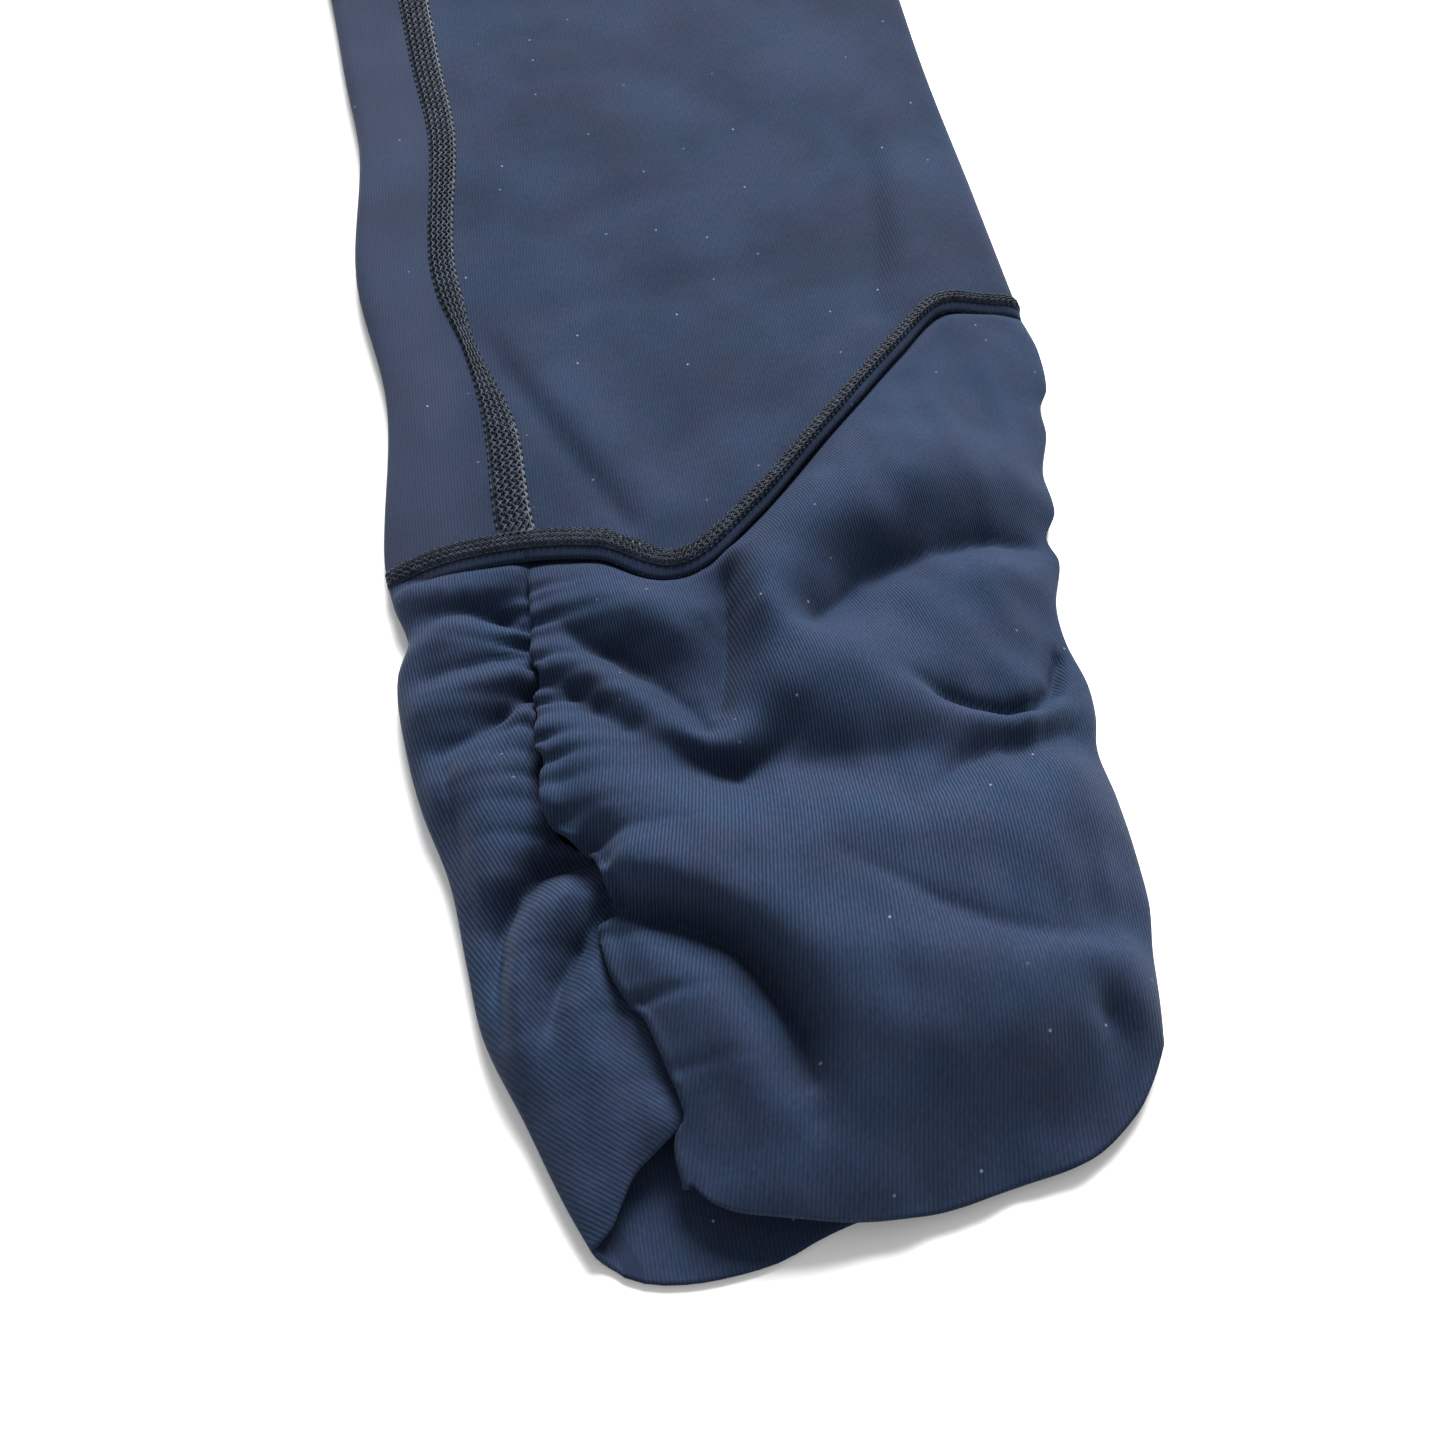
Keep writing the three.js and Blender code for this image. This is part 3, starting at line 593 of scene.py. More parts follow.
FRONT_COLUMNS = 84
BACK_COLUMNS = 18
ARC_COLUMNS = 5
FLAP_COLUMNS = 22
# Angles round a side fold, down from the front and up to it again.
FALLING = np.linspace(0, math.pi / 2, ARC_COLUMNS + 1)[None, 1:]
RISING = np.linspace(math.pi / 2, 0, ARC_COLUMNS + 1)[None, :-1]


def seam_across(up):
    """Where the inseam, or the gathered seam that goes on from it, lies on the front."""
    turn = np.maximum(inseam_turn(up) - QUARTER, 0)
    return np.where(up > CUFF_START, inner_fold(up) + FOLD_RADIUS + turn, gathered_seam(up))


def round_fold(fold, angle, inward):
    """Places across and heights of the cloth as it turns round a side fold. `inward` is 1 at the
    inner fold and -1 at the outer one."""
    return fold + inward * FOLD_RADIUS * (1 - np.cos(angle)), FOLD_RADIUS * (1 - np.sin(angle))


def spread(count, bias):
    """Steps from 0 to 1 that are closer together towards 1 for a bias above 1."""
    return 1 - (1 - np.linspace(0, 1, count)) ** bias


def round_leg(levels):
    """Rows of points round a leg: front from the seam to the outer fold, under it, along the
    back, and up round the inner fold to the seam. `levels` gives each row's level by zone."""
    zones, knit = [], []
    part = spread(FRONT_COLUMNS, 1.25)[None, :]
    up = levels["front"](part)
    seam = seam_across(up)
    across = mix(seam, outer_fold(up), part)
    zones.append(on_leg(across, up, front_of_leg(across, up)))
    knit.append(np.stack([across, up], -1))

    up = np.broadcast_to(levels["back"](np.zeros((1, 1))), (len(up), ARC_COLUMNS))
    across, height = round_fold(outer_fold(up), FALLING, -1)
    zones.append(on_leg(across, up, height))
    knit.append(np.stack([outer_fold(up) + FOLD_RADIUS * FALLING, up], -1))

    part = np.linspace(0, 1, BACK_COLUMNS + 1)[None, 1:-1]
    up = levels["back"](part)
    across = mix(outer_fold(up) - FOLD_RADIUS, inner_fold(up) + FOLD_RADIUS, part)
    zones.append(on_leg(across, up, 0.0))
    knit.append(np.stack([2 * outer_fold(up) - across, up], -1))

    up = np.broadcast_to(levels["back"](np.ones((1, 1))), (len(up), ARC_COLUMNS))
    across, height = round_fold(inner_fold(up), RISING, 1)
    zones.append(on_leg(across, up, height))
    knit.append(np.stack([inner_fold(up) - FOLD_RADIUS * RISING, up], -1))

    part = (np.linspace(0, 1, FLAP_COLUMNS) ** 1.5)[None, :]
    up = levels["flap"](part)
    across = mix(inner_fold(up), seam_across(up), part)
    zones.append(on_leg(across, up, front_of_leg(across, up)))
    knit.append(np.stack([across, up], -1))
    return np.concatenate(zones, 1), np.concatenate(knit, 1)


def level_along(line, part):
    """Level of a line over the front, given by its place across, at a part of the way from the
    inseam to the outer fold, which bulges: found in a few steps."""
    across = mix(GATHER_TOP, outer_fold(CUFF_START), part)
    for _ in range(4):
        across = mix(GATHER_TOP, outer_fold(line(across)), part)
    return line(across)


def leg_levels():
    """Levels of the leg's rows: from its turned lower edge up to the crotch."""
    inner, outer = inner_fold(CUFF_START), outer_fold(CUFF_START)
    low = {
        "front": lambda part: level_along(below_flatlock, part),
        "back": lambda part: cuff_top_back(mix(outer, inner, part)) + mix(
            BACK_SEAM_GAP, -turned_edge(mix(outer, inner, part)), (2 * part - 1) ** 12),
        "flap": lambda part: below_flatlock(mix(inner, GATHER_TOP, part)),
    }
    calm_up = 230.0
    step = np.concatenate([
        np.linspace(0, 0.05, 9)[:-1], np.linspace(0.05, 1, 76)[:-1]])[:, None]
    plain = np.concatenate([
        np.linspace(calm_up, 330, 20)[:-1], np.linspace(330, CROTCH_UP, 56)])[:, None]

    def zone(name):
        def level(part):
            blended = mix(low[name](part), calm_up, step)
            return np.concatenate([blended, np.broadcast_to(plain, (len(plain), part.shape[1]))])
        return level

    return {name: zone(name) for name in low}


hip_half = through([[0, 205], [0.35, 207], [0.7, 195], [1, WAIST_SEAM_HALF]])


def waist_seam_level(side, is_front):
    """Level of the waist seam, lowest at the front's middle; side is 0 there and 1 at the fold."""
    centre = np.where(is_front, FRONT_WAIST_UP, BACK_WAIST_UP) - BAND_DEEP
    middle = (FRONT_WAIST_UP + BACK_WAIST_UP) / 2 - BAND_DEEP
    return HEM_LEVEL + mix(centre, middle, smooth(side, 0, 1))


def round_hip(parts):
    """Rows of points over half of the hips, with the columns of round_leg: front rise to side
    fold, under it and back to the back rise. The front bulges a little between its creases."""
    part = np.asarray(parts)[:, None]
    inner = on_leg(inner_fold(CROTCH_UP), CROTCH_UP, 0)[1]
    outer = on_leg(outer_fold(CROTCH_UP), CROTCH_UP, 0)[1]

    def level(x, is_front):
        side = np.clip(x / hip_half(part), 0, 1)
        start = mix(inner, outer, side)
        return mix(start, waist_seam_level(side, is_front), part)

    zones = []
    half = hip_half(part)
    x = mix(0.15, half, spread(FRONT_COLUMNS, 1.25)[None, :])
    y = level(x, True)
    soft = 0.35 * broad_ripples(x, y)
    for depth, width, line in HIP_CREASES:
        soft = soft + depth * crease(x, y, line, width)
    soft = soft * smooth(part, 0, 0.2) * (1 - smooth(part, 0.85, 1))
    height = FOLD_RADIUS + (FOLD_RADIUS + soft) * round_shoulder(half - x, FOLD_RADIUS)
    zones.append(np.stack([x, y, height], -1))

    x, height = round_fold(half, FALLING, -1)
    zones.append(np.stack(np.broadcast_arrays(
        x, level(half + 0 * FALLING, False), height), -1))

    rest = 20.0
    x = mix(half - FOLD_RADIUS, rest, np.linspace(0, 1, BACK_COLUMNS + 1)[None, 1:-1])
    zones.append(np.stack([x, level(x, False), 0 * x], -1))

    count = ARC_COLUMNS + FLAP_COLUMNS
    x = mix(rest, INSEAM_HALF + 0.3, np.linspace(0, 1, count)[None, :]) + 0 * part
    zones.append(np.stack([x, level(x, False), 0 * x], -1))
    points = np.concatenate(zones, 1)
    front = points[:, :FRONT_COLUMNS, 0]
    back = 2 * half - points[:, FRONT_COLUMNS:, 0]
    knit = np.stack([np.concatenate([front, back], 1) - 93, points[..., 1] - HEM_LEVEL], -1)
    return points, knit


def turned_under(points, rows):
    """The lowest rows of a leg turn down into a rounded edge."""
    fall = np.linspace(1, 0, rows)[:, None] ** 2.2
    raised = points[:rows, :, 2] > FOLD_RADIUS
    points[:rows, :, 2] -= np.where(raised, 0.9 * fall, 0)
    return points


def leg_cloth():
    points, knit = round_leg(leg_levels())
    points = turned_under(points, 5)
    hip_points, hip_knit = round_hip(np.linspace(0, 1, 42)[1:])
    return np.concatenate([points, hip_points]), np.concatenate([knit, hip_knit])


LIP_COLUMNS = 9
LIP_RADIUS = 1.3
CUFF_FRONT = 164
CUFF_FLAP = 44
CUFF_ROWS = 168


def wale_right(across, up):
    """Place across the knit right of the gathered seam: its wales spread apart downwards, as
    they do over the heap of gathers, and lean one way near the leg and the other lower down."""
    down = CUFF_START - up
    lean = 0.185 * (np.sqrt((down - 40) ** 2 + 100) + down - 40) - 0.2 * down
    return across * (1.3 - 0.0041 * down) + lean


def wale_left(across, up):
    """Place across the knit left of the gathered seam, where its wales spread apart and lean over
    more and more towards the hem."""
    down = CUFF_START - up
    return (across + 35) * (1.15 - 0.0062 * down) - 0.08 * down - 0.0032 * down ** 2


def cuff_cloth():
    """The cuff's rows from hem to seam: a small lip turned under along the gathered seam, the
    front, under the outer fold, the back, up the inner fold, and the flap up to the seam."""
    inner, outer = inner_fold(CUFF_START), outer_fold(CUFF_START)
    rise = np.linspace(0, 1, CUFF_ROWS)[:, None]
    zones, knit = [], []

    def add(across, up, height, wale):
        zones.append(on_leg(across, up, height))
        knit.append(np.stack(np.broadcast_arrays(wale, up), -1))

    up = mix(hem_front(0.0), cuff_top_front(GATHER_TOP), rise)
    start = gathered_seam(up)
    inside = start + LIP_RADIUS
    height = front_of_cuff(inside, up, 1)
    angle = np.linspace(-math.pi / 2, math.pi / 2, LIP_COLUMNS + 1)[None, :-1]
    lip = inside - LIP_RADIUS * np.cos(angle)
    add(lip, up, height - LIP_RADIUS + LIP_RADIUS * np.sin(angle), wale_right(lip, up))

    part = spread(CUFF_FRONT, 1.2)[None, :]
    up = mix(hem_front(part), level_along(cuff_top_front, part), rise)
    across = mix(gathered_seam(up) + LIP_RADIUS, outer_fold(up), part)
    add(across, up, front_of_cuff(across, up, 1), wale_right(across, up))

    up = mix(hem_back(0.0), cuff_top_back(outer) - BACK_SEAM_GAP, rise) + 0 * FALLING
    across, height = round_fold(outer_fold(up), FALLING, -1)
    add(across, up, height, wale_right(outer_fold(up), up) + FOLD_RADIUS * FALLING)

    part = np.linspace(0, 1, 31)[None, 1:-1]
    up = mix(hem_back(part), cuff_top_back(mix(outer, inner, part)) - BACK_SEAM_GAP, rise)
    across = mix(outer_fold(up) - FOLD_RADIUS, inner_fold(up) + FOLD_RADIUS, part)
    add(across, up, 0 * across, -across)

    low = mix(hem_flap(0.0), hem_back(1.0), RISING / (math.pi / 2))
    up = mix(low, cuff_top_front(inner), rise)
    across, height = round_fold(inner_fold(up), RISING, 1)
    add(across, up, height, wale_left(inner_fold(up), up) - FOLD_RADIUS * RISING)

    part = (np.linspace(0, 1, CUFF_FLAP) ** 1.3)[None, :]
    up = mix(hem_flap(part), cuff_top_front(mix(inner, GATHER_TOP, part)), rise)
    across = mix(inner_fold(up), gathered_seam(up) + 0.9, part)
    add(across, up, front_of_cuff(across, up, -1), wale_left(across, up))
    return np.concatenate(zones, 1), np.concatenate(knit, 1)


def hem_rolled(points, rows):
    """The hem's edge turns in a little, on the front only."""
    fall = np.linspace(1, 0, rows)[:, None] ** 2
    raised = smooth(points[:rows, :, 2], 3, 6)
    points[:rows, :, 2] -= 0.7 * fall * raised
    return points


# ---- Flatlock seams ----

THREAD_SIDES = 4
THREAD_STEPS = 5


def band(surface, length, crown, columns=9, step=0.8):
    """The seam's covered body: a ribbon along the surface, raised in its middle. `surface` gives
    points from a distance along and a place from -1 to 1 across."""
    along = np.linspace(0, length, max(2, int(length / step)))[:, None]
    side = np.linspace(-1, 1, columns)[None, :]
    points = surface(along, side)
    lift = crown * (1 - np.abs(side) ** 4) + 0.05
    points[..., 2] += lift
    return points


def thread_paths(pitch, length, columns, phase):
    """Middle lines of the cover threads, as [stitch, step, (along, side, lift)]: in each column
    a thread slants over from one edge to the other and back, so neighbours look braided."""
    count = int(length / pitch) - 1
    t = np.linspace(0, 1, THREAD_STEPS)
    starts = (np.arange(count) + phase) * pitch
    width = 1.7 / columns
    paths = []
    for column in range(columns):
        left = -0.85 + column * width
        for way in (1, -1):
            offset = 0.5 * pitch if way < 0 else 0.0
            along = starts[:, None] + offset + t[None, :] * pitch * 1.25
            ends = (left, left + width) if way > 0 else (left + width, left)
            side = mix(ends[0], ends[1], t)[None, :] + 0 * along
            lift = 0.16 + 0.34 * np.sin(math.pi * t)[None, :] + 0 * along
            paths.append(np.stack([along, side, lift], -1))
    for edge in (-1.0, 1.0):
        along = starts[:, None] + t[None, :] * pitch * 0.62
        side = np.full_like(along, edge * 0.97)
        lift = 0.02 + 0.22 * np.sin(math.pi * t)[None, :] + 0 * along
        paths.append(np.stack([along, side, lift], -1))
    return np.concatenate(paths)


def threads(surface, length, pitch, columns, radius, crown, seed):
    """Tubes of four sides along every stitch's path, set on the surface."""
    paths = thread_paths(pitch, length, columns, 0.5)
    rng = np.random.default_rng(seed)
    paths[..., 0] += rng.normal(0, 0.06, len(paths))[:, None]
    paths[..., 2] += rng.normal(0, 0.03, len(paths))[:, None]
    centre = surface(paths[..., 0], paths[..., 1])
    centre[..., 2] += crown * (1 - np.abs(paths[..., 1]) ** 4) + paths[..., 2]
    run = np.gradient(centre, axis=1)
    run /= np.linalg.norm(run, axis=-1, keepdims=True)
    beside = np.cross(run, (0, 0, 1.0))
    beside /= np.linalg.norm(beside, axis=-1, keepdims=True)
    above = np.cross(beside, run)
    turn = np.arange(THREAD_SIDES) * 2 * math.pi / THREAD_SIDES
    taper = np.array([0.45, 1, 1, 1, 0.45])[None, :, None, None]
    ring = (np.cos(turn)[None, None, :, None] * beside[:, :, None]
            + np.sin(turn)[None, None, :, None] * above[:, :, None])
    points = centre[:, :, None] + radius * taper * ring
    count = len(points)
    one = grid_faces(THREAD_STEPS, THREAD_SIDES, closed=True)
    step = THREAD_STEPS * THREAD_SIDES
    faces = (one[None] + step * np.arange(count)[:, None, None]).reshape(-1, 4)
    return points.reshape(-1, 3), faces


def flatlock(name, node, line, pitch, columns, radius, crown, seed, mirrored=False, extra=None):
    """A seam along a line, its surface and length: the ribbon and the threads as one piece."""
    surface, length = line
    ribbon = band(surface, length, crown)
    parts = [(ribbon.reshape(-1, 3), grid_faces(*ribbon.shape[:2])[:, ::-1])]
    parts.append(threads(surface, length, pitch, columns, radius, crown, seed))
    if extra is not None:
        parts.append(extra)
    points, faces, base = [], [], 0
    for some, which in parts:
        points.append(some)
        faces.append(which + base)
        base += len(some)
    piece = new_piece(name, np.concatenate(points), np.concatenate(faces), mirrored=mirrored)
    finish_piece(piece, node, stitching())
    return piece


def by_length(path):
    """Distances along a path of points, from 0."""
    steps = np.linalg.norm(np.diff(path, axis=0), axis=1)
    return np.concatenate([[0], np.cumsum(steps)])


def wavy_seam():
    """Surface under the flatlock round the front of a cuff, and its length. It runs in the plane
    of the cloth unrolled at both side folds, so its ends go round them."""
    over = QUARTER + 3
    inner, outer = inner_fold(CUFF_START), outer_fold(OUTER_SEAM_UP)
    across = np.linspace(inner - over, outer + over, 500)
    path = np.stack([across, cuff_top_front(across)], 1)
    far = by_length(path)
    run = np.gradient(path, axis=0)
    run /= np.linalg.norm(run, axis=1, keepdims=True)
    square = np.stack([-run[:, 1], run[:, 0]], 1)

    def surface(along, side):
        at = np.stack([np.interp(along, far, path[:, k]) for k in (0, 1)], -1)
        out = np.stack([np.interp(along, far, square[:, k]) for k in (0, 1)], -1)
        place = at + out * (side * seam_half(at[..., 0]))[..., None]
        return unrolled(place[..., 0], place[..., 1])

    return surface, far[-1]


def unrolled(across, up):
    """Points of the leg's outside where `across` goes on round the side folds and under."""
    inner, outer = inner_fold(up), outer_fold(up)
    inside = np.clip(across, inner, outer)
    beyond = np.maximum(across - outer, inner - across)
    angle = np.clip(beyond / FOLD_RADIUS, 0, math.pi / 2)
    inward = FOLD_RADIUS * (1 - np.cos(angle)) + np.maximum(beyond - QUARTER, 0)
    place = np.where(across < inner, inner + inward, inside)
    place = np.where(across > outer, outer - inward, place)
    under = FOLD_RADIUS * (1 - np.sin(angle))
    height = np.where(beyond > 0, under, front_of_leg(inside, up))
    return on_leg(place, up, height)


def along_inseam():
    """Surface under the inseam's flatlock from the cuff seam to the crotch, and its length."""
    up = np.linspace(CUFF_START + 1.2, CROTCH_UP, 900)

    def surface(along, side):
        level = up[0] + along
        turn = inseam_turn(level) + side * inseam_half(level)
        return unrolled(inner_fold(level) + turn - 1.5, level)

    return surface, up[-1] - up[0]


def along_rise():
    """Surface under the front rise's flatlock, from the crotch up to the waist seam."""
    low = on_leg(inner_fold(CROTCH_UP), CROTCH_UP, 0)[1] - 2
    high = float(waist_seam_level(0, True)) - SEAM_HALF

    def surface(along, side):
        y = low + along
        return np.stack(np.broadcast_arrays(side * INSEAM_HALF, y, FLAT_TOP), -1)

    return surface, high - low


def along_waist():
    """Surface under the waist seam's flatlock, across the front and round both folds."""
    half = WAIST_SEAM_HALF
    over = QUARTER

    def surface(along, side):
        x = along - half - over
        beyond = np.maximum(np.abs(x) - half, 0)
        angle = np.clip(beyond / FOLD_RADIUS, 0, math.pi / 2)
        inside = np.clip(np.abs(x), 0, half) - FOLD_RADIUS * (1 - np.cos(angle))
        near = FOLD_RADIUS * round_shoulder(half - np.clip(np.abs(x), 0, half), FOLD_RADIUS)
        height = np.where(beyond > 0, FOLD_RADIUS * (1 - np.sin(angle)), FOLD_RADIUS + near)
        y = waist_seam_level(inside / half, True) + side * SEAM_HALF
        return np.stack(np.broadcast_arrays(np.sign(x) * inside, y, height), -1)

    return surface, 2 * (half + over)


def flush_strip(points_low, points_high):
    """A plain strip between two rows of points, for the underside of a seam."""
    points = np.stack([points_low, points_high])
    return points.reshape(-1, 3), grid_faces(2, points.shape[1])


# ---- Finishes ----


class Nodes:
    """Short names for building a material's node tree."""

    def __init__(self, name):
        self.material = bpy.data.materials.new(name)
        self.material.use_nodes = True
        self.tree = self.material.node_tree
        self.tree.nodes.clear()
        self.shader = self.add("ShaderNodeBsdfPrincipled")
        output = self.add("ShaderNodeOutputMaterial")
        self.link(self.shader.outputs["BSDF"], output.inputs["Surface"])

    def add(self, kind, **settings):
        node = self.tree.nodes.new(kind)
        for key, value in settings.items():
            if key in node.inputs:
                node.inputs[key].default_value = value
            else:
                setattr(node, key, value)
        return node

    def link(self, output, socket):
        self.tree.links.new(output, socket)

    def texture(self, kind, place, **settings):
        node = self.add("ShaderNodeTex" + kind, **settings)
        self.link(place, node.inputs["Vector"])
        return node

    def finish(self, colour, relief, **settings):
        """Set the shader's colour, its bump from the relief, and its other values by name."""
        self.link(colour, self.shader.inputs["Base Color"])
        bump = self.add("ShaderNodeBump", Strength=settings.pop("strength"),
                        Distance=settings.pop("distance"))
        self.link(relief, bump.inputs["Height"])
        self.link(bump.outputs["Normal"], self.shader.inputs["Normal"])
        for name, value in settings.items():
            self.shader.inputs[name].default_value = value
        return self.material

    def math(self, operation, first, second, third=None):
        node = self.add("ShaderNodeMath", operation=operation)
        for socket, value in zip(node.inputs, (first, second, third)):
            if isinstance(value, bpy.types.NodeSocket):
                self.link(value, socket)
            elif value is not None:
                socket.default_value = value
        return node.outputs[0]

    def ramp(self, value, low, high):
        node = self.add("ShaderNodeMapRange", interpolation_type="SMOOTHSTEP")
        self.link(value, node.inputs["Value"])
        node.inputs["From Min"].default_value = low
        node.inputs["From Max"].default_value = high
        return node.outputs["Result"]

    def blend(self, factor, first, second, blend_type="MIX"):
        node = self.add("ShaderNodeMix", data_type="RGBA", blend_type=blend_type)
        for socket, value in ((node.inputs[0], factor), (node.inputs[6], first),
                              (node.inputs[7], second)):
            if isinstance(value, bpy.types.NodeSocket):
                self.link(value, socket)
            elif isinstance(value, (int, float)):
                socket.default_value = value
            else:
                socket.default_value = (*value, 1)
        return node.outputs[2]


WALE = 0.54   # pitch of the knit's wales in millimetres


def knit(brushed):
    """Fine stretch knit: wales along the cloth's own coordinates, mottled dye and a little lint.
    The brushed side, out on the legs, is duller and more mottled, and hides its wales."""
    name = "brushed knit" if brushed else "smooth knit"
    found = bpy.data.materials.get(name)
    if found:
        return found
    looks = bpy.context.scene.leggings_cloth
    n = Nodes(name)
    cloth = n.add("ShaderNodeUVMap", uv_map="knit").outputs["UV"]
    place = n.add("ShaderNodeTexCoord").outputs["Object"]

    wave = n.texture("Wave", cloth, wave_type="BANDS", bands_direction="X", Distortion=0.9,
                     Scale=2 * math.pi / (20 * looks.wale_pitch / MM), Detail=1.5)
    wave.inputs["Detail Scale"].default_value = 3.0
    rib = wave.outputs["Fac"]

    stretch = n.add("ShaderNodeMapping")
    stretch.inputs["Scale"].default_value = (2.6, 0.9, 1)
    n.link(cloth, stretch.inputs["Vector"])
    fuzz = n.texture("Noise", stretch.outputs["Vector"], Scale=1.0, Detail=4.0, Roughness=0.65)
    broad = n.texture("Noise", place, Scale=42.0, Detail=3.0, Roughness=0.55)
    tint = n.texture("Noise", place, Scale=95.0, Detail=3.0, Roughness=0.6)

    hue = n.blend(n.ramp(tint.outputs["Fac"], 0.35, 0.65), looks.knit_cool, looks.knit_warm)
    worn_by, worn_from = (0.34, 0.65) if brushed else (0.2, 0.92)
    worn = n.math("MULTIPLY_ADD", n.ramp(broad.outputs["Fac"], 0.3, 0.7), worn_by, worn_from)
    level = n.add("ShaderNodeSeparateXYZ")
    n.link(cloth, level.inputs["Vector"])
    ribbed_by, ribbed_from = (0.0, 0.28) if brushed else (0.55, 0.35)
    contrast = n.math("MULTIPLY_ADD", n.ramp(level.outputs["Y"], 22, 52), ribbed_by, ribbed_from)
    lines = n.math("MULTIPLY_ADD", n.math("SUBTRACT", rib, 0.5), contrast, 1.0)
    speckle = n.math("MULTIPLY_ADD", fuzz.outputs["Fac"], 1.1, 0.45)
    shade = n.math("MULTIPLY", n.math("MULTIPLY", worn, lines), speckle)
    dyed = n.add("ShaderNodeVectorMath", operation="SCALE")
    n.link(hue, dyed.inputs[0])
    n.link(shade, dyed.inputs["Scale"])

    cells = n.texture("Voronoi", cloth, voronoi_dimensions="2D", Scale=0.11, Randomness=1.0)
    near = n.math("LESS_THAN", cells.outputs["Distance"], 0.022)
    chosen = n.add("ShaderNodeSeparateColor")
    n.link(cells.outputs["Color"], chosen.inputs["Color"])
    lint = n.math("MULTIPLY", near, n.ramp(chosen.outputs["Red"], 0.68, 1.0))
    tinted = dyed.outputs[0]
    # The flap beside the inner fold, below the hips, is blended towards a lighter, warmer tone of
    # the knit.
    if brushed:
        by_inner_fold = n.math("MULTIPLY", n.ramp(level.outputs["X"], -33, -46),
                               n.ramp(level.outputs["Y"], 330, 210))
        tinted = n.blend(n.math("MULTIPLY", by_inner_fold, 0.35), tinted, looks.knit_inner_tone)
    colour = n.blend(n.math("MULTIPLY", lint, 0.3), tinted, (0.42, 0.45, 0.5))
    relief = n.math(
        "ADD", n.math("MULTIPLY", rib, 0.7), n.math("MULTIPLY", fuzz.outputs["Fac"], 0.6))
    return n.finish(colour, relief, strength=0.55, distance=0.00012, **{
        "Roughness": 0.88, "Sheen Weight": 0.05, "Sheen Roughness": 0.45,
        "Sheen Tint": (0.55, 0.62, 0.85, 1), "Specular IOR Level": 0.1})


def stitching():
    """Flatlock thread: dark teal navy with a twist along it and worn, paler loops."""
    found = bpy.data.materials.get("flatlock thread")
    if found:
        return found
    looks = bpy.context.scene.leggings_cloth
    n = Nodes("flatlock thread")
    place = n.add("ShaderNodeTexCoord").outputs["Object"]
    ply = n.texture("Noise", place, Scale=2600.0, Detail=2.0)
    worn = n.texture("Noise", place, Scale=420.0, Detail=2.0)
    colour = n.blend(n.ramp(worn.outputs["Fac"], 0.42, 0.68), looks.thread_dark, looks.thread_pale)
    return n.finish(colour, ply.outputs["Fac"], strength=0.6, distance=0.0001, **{
        "Roughness": 0.55, "Specular IOR Level": 0.25})


# ---- Settings and operators ----


class LeggingsCloth(bpy.types.PropertyGroup):
    """Sizes and colours of the cloth and its thread."""

    knit_thickness: bpy.props.FloatProperty(
        name="Knit thickness", description="Thickness of one layer of the knit",
        default=0.8 * MM, min=0.2 * MM, max=3 * MM, subtype="DISTANCE", unit="LENGTH")
    wale_pitch: bpy.props.FloatProperty(
        name="Wale pitch", description="Distance from one wale of the knit to the next",
        default=WALE * MM, min=0.2 * MM, max=3 * MM, subtype="DISTANCE", unit="LENGTH")
    knit_cool: bpy.props.FloatVectorProperty(
        name="Knit, cool", description="Bluer shade of the mottled dye",
        default=(0.0120, 0.0230, 0.0485), subtype="COLOR", size=3, min=0, max=1)
    knit_warm: bpy.props.FloatVectorProperty(
        name="Knit, warm", description="Redder shade of the mottled dye",
        default=(0.0148, 0.0226, 0.0472), subtype="COLOR", size=3, min=0, max=1)
    # Lighter, warmer tone blended into the flap beside the inner fold, below the hips.
    knit_inner_tone: bpy.props.FloatVectorProperty(
        name="Knit, faded", description="Shade of the knit beside the inner side fold",
        default=(0.0290, 0.0340, 0.0600), subtype="COLOR", size=3, min=0, max=1)
    thread_dark: bpy.props.FloatVectorProperty(
        name="Thread", description="Flatlock thread",
        default=(0.0045, 0.0092, 0.0195), subtype="COLOR", size=3, min=0, max=1)
    thread_pale: bpy.props.FloatVectorProperty(
        name="Thread, worn", description="Flatlock thread where it is worn paler",
        default=(0.0125, 0.0215, 0.0400), subtype="COLOR", size=3, min=0, max=1)


class LeggingsStage(bpy.types.PropertyGroup):
    """Camera and lights."""

    camera_turn: bpy.props.FloatProperty(
        name="Camera turn", description="How far the view is turned clockwise from the garment",
        default=math.radians(6.3), subtype="ANGLE", unit="ROTATION")
    camera_rise: bpy.props.FloatProperty(
        name="Camera elevation", description="Angle of the view above the surface",
        default=math.radians(62), subtype="ANGLE", unit="ROTATION")
    camera_distance: bpy.props.FloatProperty(
        name="Camera distance", description="From the camera to the point it looks at",
        default=218 * MM, subtype="DISTANCE", unit="LENGTH")
    key_power: bpy.props.FloatProperty(
        name="Key light", description="Strength of the large soft light on the waist's side",
        default=62.0, unit="POWER")
    room_light: bpy.props.FloatProperty(
        name="Room light", description="Strength of the even light from all round",
        default=0.6, min=0)


SIDES = (("left", False), ("right", True))


class LEGGINGS_OT_legs(bpy.types.Operator):
    """Make the two leg panels, each from its cuff seam to the waist seam"""

    bl_idname = "leggings.legs"
    bl_label = "Make Legs"

    def execute(self, context):
        points, uv = leg_cloth()
        faces = grid_faces(*points.shape[:2])
        for side, mirrored in SIDES:
            piece = new_piece(f"leg_panel_{side}", points, faces, uv, mirrored)
            give_thickness(piece, context.scene.leggings_cloth.knit_thickness / MM)
            finish_piece(piece, f"leg_{side}", knit(True))
        return {"FINISHED"}


